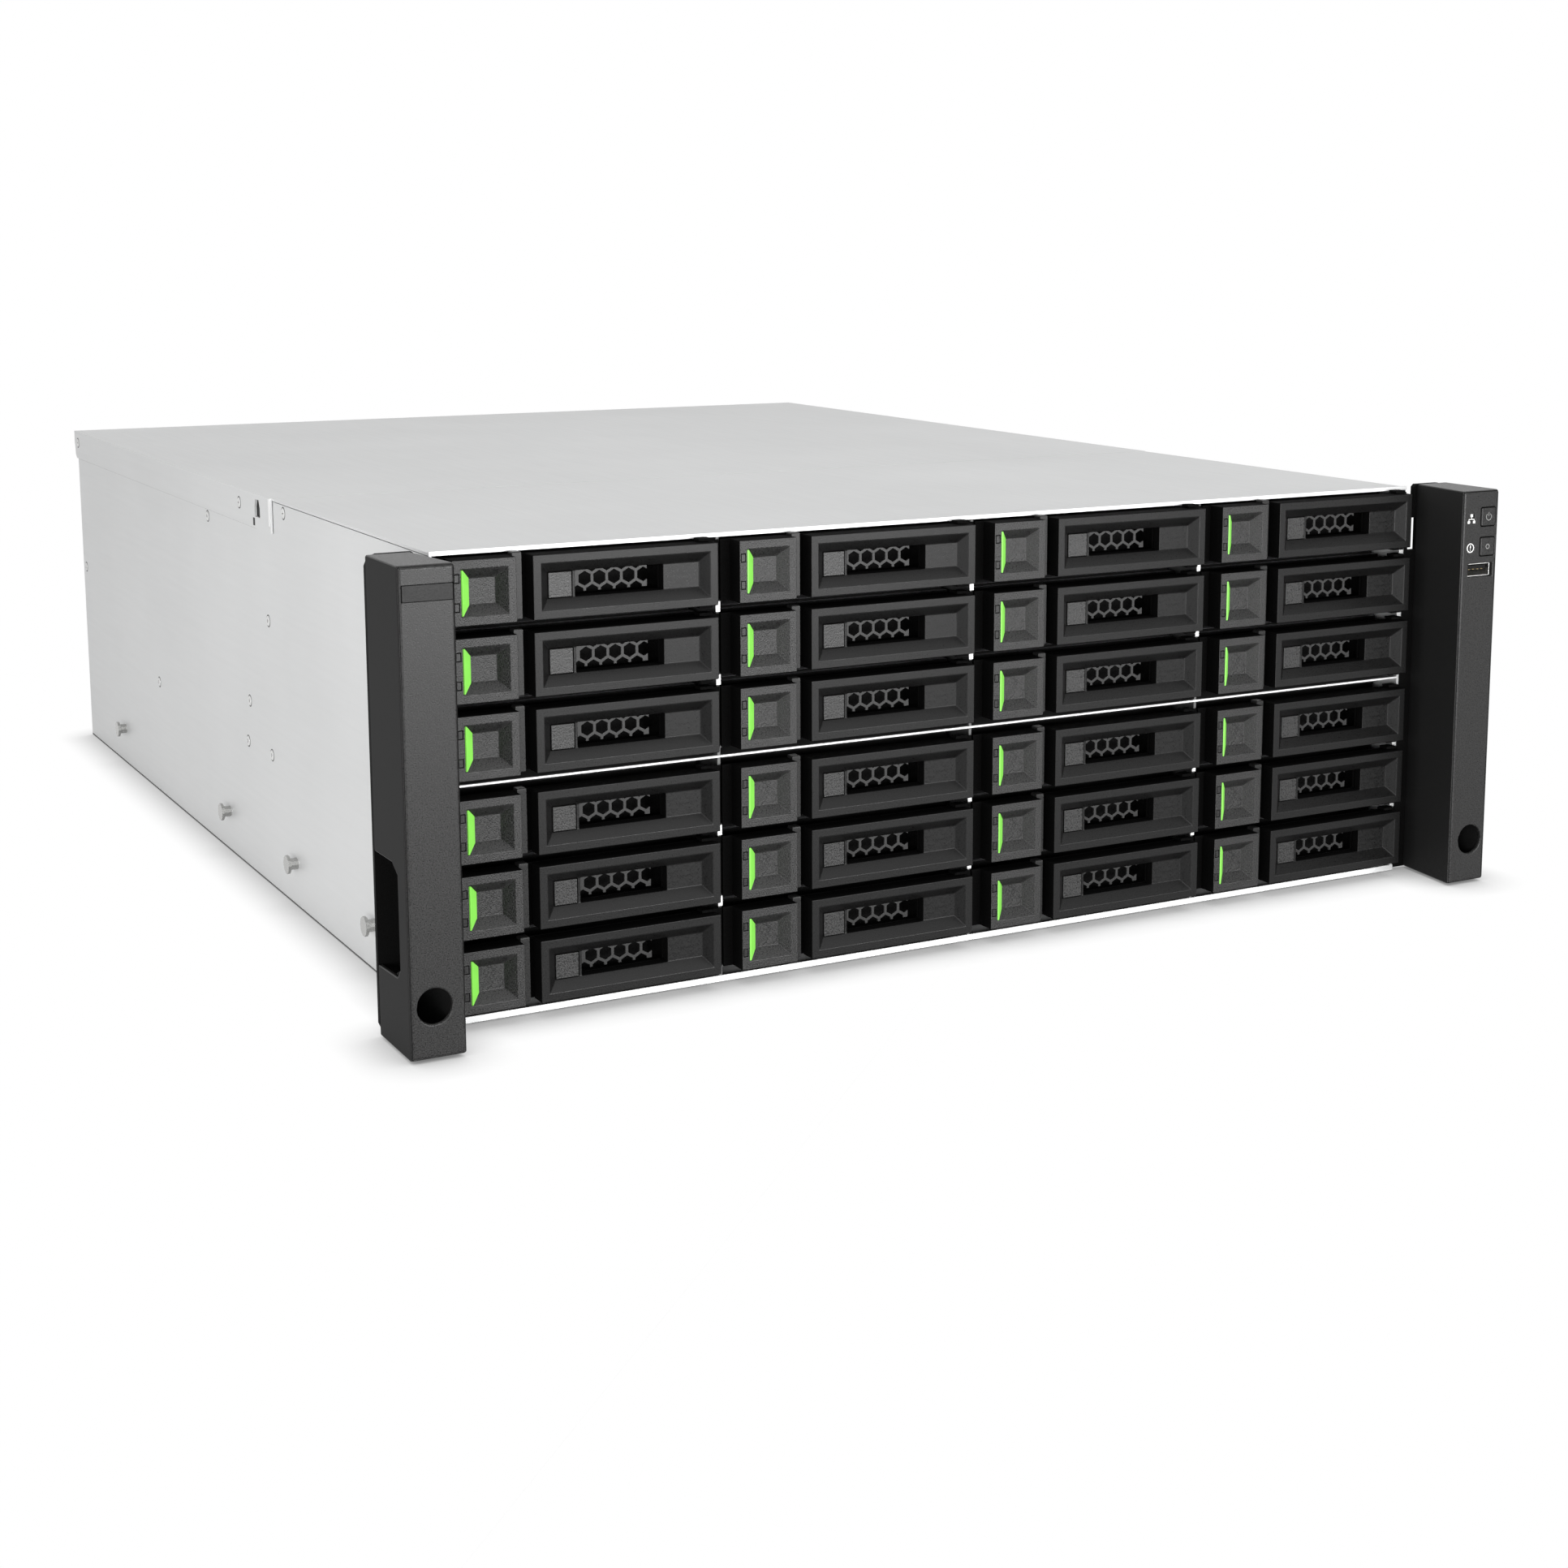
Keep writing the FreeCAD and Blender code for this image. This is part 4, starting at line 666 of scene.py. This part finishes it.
def control_board():
    """Behind the right ear: board, switches, light pipes, and the USB socket with its tongue."""
    board, parts, pipes, shell, tongue, pads = Form(), Form(), Form(), Form(), Form(), Form()
    block(board, (225.4, -20.0, 126.0), (239.0, -18.4, 166.0))
    block(board, (228.0, -18.4, 128.0), (236.0, -0.2, 131.0))
    for z in KEYS.values():
        block(parts, (232.4, -22.2, z - 3), (238.4, -20.0, z + 3))
        block(pipes, (226.0, EAR_FACE + 0.02, z - 0.9), (227.8, -20.0, z + 0.9))
    outside, inside = (225.4, 238.6, 133.5, 139.0), (225.8, 238.2, 133.9, 138.6)
    prism(
        shell,
        rectangle(*outside, -31.6),
        rectangle(*outside, -20.2),
        [(rectangle(*inside, -31.6), rectangle(*inside, -20.2))],
    )
    block(tongue, (226.8, -30.6, 136.4), (237.2, -21.0, 138.0))
    block(tongue, (225.8, -21.4, 133.9), (238.2, -20.4, 138.6))
    for i in range(4):
        block(pads, (227.9 + 2.3 * i, -30.2, 136.25), (229.1 + 2.3 * i, -22.0, 136.45))
    made = on_chassis(board, "control_board", "circuit", 0.1)
    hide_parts("front_control_board")
    on_chassis(parts, "key_switches", "black", 0.3)
    on_chassis(pipes, "light_pipes", "plate", 0.1)
    on_chassis(shell, "usb_shell", "rivet", 0.12)
    on_chassis(tongue, "usb_tongue", "black", 0.15)
    on_chassis(pads, "usb_contacts", "gold")


# ---------------------------------------------------------------- sheet metal details

def rivet_head(name, cross):
    """A low round head: an open ring, or a head with a cross recess."""
    form = Form()
    steps = ((2.2, 0.1), (2.2, -0.15), (1.7, -0.4))
    rings = [form.loop(disc(0, 0, radius, y, 20)) for radius, y in steps]
    if cross:
        arm, slot = 1.25, 0.24
        corners = [
            (slot, slot), (arm, slot), (arm, -slot), (slot, -slot), (slot, -arm), (-slot, -arm),
            (-slot, -slot), (-arm, -slot), (-arm, slot), (-slot, slot), (-slot, arm), (slot, arm),
        ]
    else:
        corners = [(x, z) for x, _, z in disc(0, 0, 0.85, 0, 12)]
    mouth, bottom = [form.loop([(x, y, z) for x, z in corners]) for y in (-0.4, 0.1)]
    form.skin(*rings)
    form.fill(rings[-1], mouth)
    form.skin(mouth, bottom)
    form.fill(rings[0], bottom)
    return form.finish(name, "rivet_steel", 0.08, 1)


def rivet_shadow():
    """Painted shadow: a dark disc behind a head, seen as a shadow line round it and as the shade in
    its recess.
    """
    form = Form()
    prism(form, disc(0, 0, 2.7, -0.04, 20), disc(0, 0, 2.7, 0.1, 20))
    return form.finish("rivet_shadow", "shadow_line")


def wall_fasteners():
    """Rivets and screws on the side walls and on the covers' turned-down edges."""
    rivet, screw, gap = rivet_head("rivet", False), rivet_head("screw", True), rivet_shadow()
    walls = [
        (203, 116.4), (237, 76.6), (242, 57.9), (205, 58.6), (404, 57.1), (296, 150.9), (563, 95.0),
    ]
    flanges = [(237, 163.0), (563, 163.0)]
    for side, angle in ((-1, -90), (1, 90)):
        turn = Matrix.Rotation(radians(angle), 4, "Z")
        spots = [("wall", "chassis", SIDE_WALL, rivet, spot) for spot in walls]
        spots += [("flange", "rear_top_cover", COVER_WALL, screw, spot) for spot in flanges]
        spots.append(("front", "chassis", SIDE_WALL, screw, (175, 164.5)))
        for number, (kind, body, wall, head, (y, z)) in enumerate(spots):
            place = (side * wall * MM, y * MM, z * MM)
            put(f"{kind}_fastener_{number}_{side + 1}", head, place, body, turn)
            put(f"{kind}_fastener_gap_{number}_{side + 1}", gap, place, body, turn)


def cover_seams():
    """Painted light on the cover sides: a painted highlight on the rear cover's front edge, painted
    shade inside its slots and in a notch just behind each, and painted shadow lines under its edge and
    along the bottom of the side walls.
    """
    lit, dark, line = Form(), Form(), Form()
    for side in (-1, 1):
        near, far = sorted((side * (COVER_WALL - 0.1), side * (COVER_WALL + 0.12)))
        block(lit, (near, 190.0, 157.5), (far, 192.2, 168.9))
        block(dark, (near, 213.0, 155.6), (far, 215.4, 158.8))
        near, far = sorted((side * (SIDE_WALL - 0.1), side * (SIDE_WALL + 0.1)))
        block(dark, (near, 203.5, 156.5), (far, 214.0, 168.2))
        block(line, (near, 215.0, 153.9), (far, 569.5, 154.5))
        block(line, (near, 50.0, 0.2), (far, 569.5, 0.8))
    edges = lit.finish("cover_front_edges", "highlight_steel", 0.08)
    put("cover_front_edges", edges, (0, 0, 0), "rear_top_cover")
    on_chassis(dark, "slot_painted_shade", "black")
    on_chassis(line, "cover_shadow_lines", "shadow_line")


def pale_edges():
    """Painted highlight: bright strips on the sheared ends of the bay walls, which show between the
    rows of carriers, and on the front edge of the middle shelf."""
    form = Form()
    gaps = [(ROWS[i + 1] + BEZEL_TALL + 0.2, ROWS[i] - 0.2) for i in (0, 1, 3, 4)]
    for low, high in gaps:
        for middle in (-COLUMN_PITCH, 0, COLUMN_PITCH):
            block(form, (middle - 0.9, -0.4, low), (middle + 0.9, 0.2, high))
        for side in (-1, 1):
            near, far = sorted((side * 216.4, side * 218.2))
            block(form, (near, -0.4, low), (far, 0.2, high))
    block(form, (-218.0, -0.3, 85.7), (218.0, 0.1, 86.5))
    on_chassis(form, "wall_ends", "highlight_steel", 0.15)


# ---------------------------------------------------------------- rear modules

REAR_FACE = 570.5
CANISTERS = {"controller_lower": 3.2, "controller_upper": 72.4}
SUPPLIES = {"psu_left": -164.0, "psu_right": 164.0}
FANS = {"fan_module_left": -164.0, "fan_module_right": 164.0}
FAN_MIDDLE, FAN_SCREW = 108.0, 41.5


def socket_liner(form, left, right, low, high, wall, proud, deep):
    """A thin metal or plastic mouth that lines a socket and stands a little proud."""
    fit = 0.1
    outside = (left + fit, right - fit, low + fit, high - fit)
    inside = (left + fit + wall, right - fit - wall, low + fit + wall, high - fit - wall)
    prism(
        form,
        rectangle(*outside, REAR_FACE - deep),
        rectangle(*outside, REAR_FACE + proud),
        [(rectangle(*inside, REAR_FACE - deep), rectangle(*inside, REAR_FACE + proud))],
    )


def vent_patch(form, holes, left, low, columns, rows, y, pitch=4.6, flats=3.7):
    """A perforated plate, 0.8 thick, in front of a dark backing that is painted shade."""
    rise = pitch * sqrt(3) / 2
    right, high = left + pitch * (columns + 0.5) + 1.6, low + rise * rows + 2.4
    cells = []
    for row in range(rows):
        for column in range(columns):
            x = left + 0.8 + pitch * (column + 0.5 + 0.5 * (row % 2))
            z = low + 1.2 + rise * (row + 0.5)
            cells.append((hexagon(x, z, flats, y), hexagon(x, z, flats, y + 0.8)))
    plate = (left, right, low, high)
    prism(form, rectangle(*plate, y), rectangle(*plate, y + 0.8), cells)
    block(holes, (left + 0.3, y - 0.4, low + 0.3), (right - 0.3, y + 0.2, high - 0.3))


def thumb_screw(form, x, z):
    """A knurled captive screw with a slot."""
    count, y = 36, REAR_FACE
    rings = []
    steps = ((3.2, 0.0, 0.0), (3.2, 1.2, 0.25), (3.2, 5.2, 0.25), (2.7, 5.8, 0.0))
    for radius, depth, ripple in steps:
        rings.append(form.loop([
            (x + (radius + ripple * (i % 2)) * cos(2 * pi * i / count), y + depth,
             z + (radius + ripple * (i % 2)) * sin(2 * pi * i / count))
            for i in range(count)
        ]))
    form.skin(*rings)
    slot = form.loop(rectangle(x - 2.0, x + 2.0, z - 0.4, z + 0.4, y + 5.8))
    bottom = form.loop(rectangle(x - 2.0, x + 2.0, z - 0.4, z + 0.4, y + 4.8))
    form.skin(slot, bottom)
    form.fill(bottom)
    form.fill(rings[-1], slot)
    form.fill(rings[0])


def on_module(body, form, name, paint, bevel=0.0):
    put(f"{body}_{name}", form.finish(f"{body}_{name}", paint, bevel, 1), (0, 0, 0), body)


def dress_canister(body, low):
    cages, linings, tongues, contacts, lamps, screws = Form(), Form(), Form(), Form(), Form(), Form()
    for i in range(4):
        left = -60.0 + 30.0 * i
        socket_liner(cages, left, left + 19, low + 14, low + 23, 0.5, 0.6, 12.0)
        block(linings, (left + 0.6, REAR_FACE - 13.6, low + 14.6),
              (left + 18.4, REAR_FACE - 12.0, low + 22.4))
        block(tongues, (left + 3.0, REAR_FACE - 12.0, low + 18.0),
              (left + 16.0, REAR_FACE - 5.0, low + 19.2))
        for lamp in (5.5, 12.0):
            block(lamps, (left + lamp, REAR_FACE, low + 25.2),
                  (left + lamp + 1.6, REAR_FACE + 0.3, low + 26.8))
    socket_liner(cages, 66, 82, low + 13, low + 26, 0.6, 0.4, 12.0)
    block(linings, (66.8, REAR_FACE - 13.6, low + 13.8), (81.2, REAR_FACE - 12.0, low + 25.2))
    for i in range(8):
        x = 69.6 + 1.27 * i
        block(contacts, (x, REAR_FACE - 11.8, low + 23.2), (x + 0.5, REAR_FACE - 3.0, low + 23.6))
    for x in (-106.5, 106.5):
        thumb_screw(screws, x, low + 8.0)
    sheet, dark = Form(), Form()
    vent_patch(sheet, dark, -104.0, low + 28.5, 19, 3, REAR_FACE + 0.05)
    on_module(body, cages, "port_cages", "rivet", 0.12)
    on_module(body, linings, "port_linings", "black")
    on_module(body, tongues, "port_tongues", "black", 0.1)
    on_module(body, contacts, "port_contacts", "gold")
    on_module(body, lamps, "port_lamps", "key", 0.1)
    on_module(body, screws, "thumb_screws", "rivet", 0.1)
    on_module(body, sheet, "air_sheet", "inner_steel")
    on_module(body, dark, "air_painted_shade", "tray")


def dress_supply(body, middle):
    mouth, prongs, lamp = Form(), Form(), Form()
    left = middle + 10.0
    socket_liner(mouth, left, left + 27.4, 17.0, 37.0, 1.3, 1.2, 14.0)
    block(mouth, (left + 0.6, REAR_FACE - 15.6, 17.6), (left + 26.8, REAR_FACE - 14.0, 36.4))
    for x, z in ((6.7, 24.0), (13.7, 28.5), (20.7, 24.0)):
        block(prongs, (left + x - 1.0, REAR_FACE - 14.5, z - 2.5),
              (left + x + 1.0, REAR_FACE - 3.5, z + 2.5))
    block(lamp, (middle + 38.6, REAR_FACE, 40.5), (middle + 41.0, REAR_FACE + 0.4, 42.9))
    on_module(body, mouth, "inlet", "black", 0.2)
    on_module(body, prongs, "inlet_prongs", "rivet", 0.2)
    on_module(body, lamp, "lamp", "green", 0.1)


def dress_fan(body, middle, screw):
    spots = [(x, z) for z in (-FAN_SCREW, FAN_SCREW) for x in (-FAN_SCREW, FAN_SCREW)]
    for number, (x, z) in enumerate(spots):
        place = ((middle + x) * MM, REAR_FACE * MM, (FAN_MIDDLE + z) * MM)
        put(f"{body}_screw_{number}", screw, place, body, Matrix.Rotation(pi, 4, "Z"))


def dress_rear():
    for body, low in CANISTERS.items():
        dress_canister(body, low)
    for body, middle in SUPPLIES.items():
        dress_supply(body, middle)
    screw = rivet_head("fan_screw", True)
    for body, middle in FANS.items():
        dress_fan(body, middle, screw)
    sheet = Form()
    for i in range(6):
        left, y = -105.0 + 35.0 * i, 568.0
        spots = [
            (left + 2.6 + 2.85 * (column + 0.5 * (row % 2)), 148.1 + 2.47 * row)
            for row in range(4) for column in range(10)
        ]
        cells = [(hexagon(x, z, 2.2, y), hexagon(x, z, 2.2, y + 0.7)) for x, z in spots]
        prism(
            sheet,
            rectangle(left, left + 32, 145.2, 158.8, y),
            rectangle(left, left + 32, 145.2, 158.8, y + 0.7),
            cells,
        )
    on_chassis(sheet, "rear_air_sheets", "inner_steel")


# ---------------------------------------------------------------- carried-over frame nodes

NODE_PAINTS = {
    "chassis_pan": "steel",
    "front_top_cover": "steel",
    "rear_top_cover": "steel",
    "mid_shelf": "shaded_steel",
    "drive_cage": "shaded_steel",
    "backplane": "circuit",
    "ear_bracket_left": "black_steel",
    "ear_bracket_right": "black_steel",
    "ear_cover_left": "ear",
    "ear_cover_right": "ear",
    "rail_studs": "stud",
    "rear_panel": "inner_steel",
    "module_cage": "inner_steel",
    "controller_lower": "inner_steel",
    "controller_upper": "inner_steel",
    "controller_lever_lower": "black",
    "controller_lever_upper": "black",
    "psu_left": "inner_steel",
    "psu_right": "inner_steel",
    "psu_latch_left": "black",
    "psu_latch_right": "black",
    "fan_module_left": "black",
    "fan_module_right": "black",
    "fan_rotor_left": "black",
    "fan_rotor_right": "black",
}


def soften(obj, width):
    """Rounds a carried-over node's edges a little, so that they catch the light."""
    weld = obj.modifiers.new("weld", "WELD")
    weld.merge_threshold = 0.00001
    bevel = obj.modifiers.new("edges", "BEVEL")
    bevel.width = width * MM
    bevel.segments = 2
    bevel.limit_method = "ANGLE"
    bevel.angle_limit = radians(40)
    bevel.harden_normals = True


def dress_frame():
    for node, paint in NODE_PAINTS.items():
        coat(nodes[node], paint)
    for node in ("ear_cover_left", "ear_cover_right"):
        soften(nodes[node], 0.7)


# ---------------------------------------------------------------- stage, light and camera

def either(tree, first, second):
    """The larger of two values: 1 where either kind of ray is traced."""
    larger = tree.nodes.new("ShaderNodeMath")
    larger.operation = "MAXIMUM"
    tree.links.new(first, larger.inputs[0])
    tree.links.new(second, larger.inputs[1])
    return larger.outputs[0]


def stage_material():
    """A floor that is seen white, with a soft shadow where the object comes close to it."""
    material = bpy.data.materials.new("stage_white")
    material.use_nodes = True
    tree = material.node_tree
    tree.nodes.clear()
    output = tree.nodes.new("ShaderNodeOutputMaterial")
    diffuse = tree.nodes.new("ShaderNodeBsdfDiffuse")
    diffuse.inputs["Color"].default_value = (0.8, 0.8, 0.8, 1)
    near = tree.nodes.new("ShaderNodeAmbientOcclusion")
    near.samples = 16
    near.inputs["Distance"].default_value = 0.02
    shadow = tree.nodes.new("ShaderNodeMapRange")
    shadow.inputs["To Min"].default_value = 0.15
    tree.links.new(near.outputs["AO"], shadow.inputs["Value"])
    glow = tree.nodes.new("ShaderNodeEmission")
    tree.links.new(shadow.outputs["Result"], glow.inputs["Strength"])
    path = tree.nodes.new("ShaderNodeLightPath")
    seen = either(tree, path.outputs["Is Camera Ray"], path.outputs["Is Glossy Ray"])
    choose = tree.nodes.new("ShaderNodeMixShader")
    tree.links.new(seen, choose.inputs["Fac"])
    tree.links.new(diffuse.outputs[0], choose.inputs[1])
    tree.links.new(glow.outputs[0], choose.inputs[2])
    tree.links.new(choose.outputs[0], output.inputs["Surface"])
    return material


def set_stage():
    mesh = bpy.data.meshes.new("floor")
    reach, drop = 12.0, -0.0002
    corners = [
        (-reach, -reach, drop), (reach, -reach, drop), (reach, reach, drop), (-reach, reach, drop),
    ]
    mesh.from_pydata(corners, [], [(0, 1, 2, 3)])
    mesh.materials.append(stage_material())
    floor = bpy.data.objects.new("floor", mesh)
    bpy.context.scene.collection.objects.link(floor)


def set_world():
    world = bpy.data.worlds.new("studio")
    bpy.context.scene.world = world
    world.use_nodes = True
    tree = world.node_tree
    background = tree.nodes["Background"]
    background.inputs["Color"].default_value = (1, 1, 1, 1)
    path = tree.nodes.new("ShaderNodeLightPath")
    shine = either(tree, path.outputs["Is Transmission Ray"], path.outputs["Is Glossy Ray"])
    seen = either(tree, path.outputs["Is Camera Ray"], shine)
    strength = tree.nodes.new("ShaderNodeMapRange")
    strength.inputs["To Min"].default_value = 0.30
    strength.inputs["To Max"].default_value = 1.0
    tree.links.new(seen, strength.inputs["Value"])
    tree.links.new(strength.outputs["Result"], background.inputs["Strength"])


def add_lamp(name, place, aim, size, power):
    data = bpy.data.lights.new(name, "AREA")
    data.shape = "RECTANGLE"
    data.size, data.size_y = size
    data.energy = power
    lamp = bpy.data.objects.new(name, data)
    bpy.context.scene.collection.objects.link(lamp)
    lamp.location = place
    lamp.rotation_euler = (Vector(aim) - Vector(place)).to_track_quat("-Z", "Y").to_euler()


def set_lamps():
    add_lamp("front", (0.35, -1.5, 0.18), (-0.1, 0.0, 0.1), (1.1, 0.36), 28)
    add_lamp("key", (-1.25, -1.45, 0.2), (0.0, 0.0, 0.1), (0.7, 0.34), 17)
    add_lamp("top", (0.2, -0.7, 1.7), (0, 0.1, 0.1), (1.6, 1.6), 17)
    add_lamp("side", (-1.15, -0.35, 0.18), (-0.22, 0.05, 0.08), (0.6, 0.3), 3)


def set_camera():
    data = bpy.data.cameras.new("camera")
    data.sensor_width = 36
    data.lens = 55.4
    data.shift_x, data.shift_y = -0.037, -0.1035
    data.clip_start, data.clip_end = 0.05, 60
    camera = bpy.data.objects.new("camera", data)
    bpy.context.scene.collection.objects.link(camera)
    camera.location = (-0.4913, -0.7844, 0.2795)
    camera.rotation_euler = (radians(90 - 9.32), 0, radians(-28.96))
    bpy.context.scene.camera = camera


# ---------------------------------------------------------------- scene

bpy.context.scene.view_settings.view_transform = "Standard"
set_stage()
set_world()
set_lamps()
set_camera()
dress_frame()
dress_carriers()
name_plate()
ear_marks()
keys()
control_board()
wall_fasteners()
pale_edges()
cover_seams()
dress_rear()
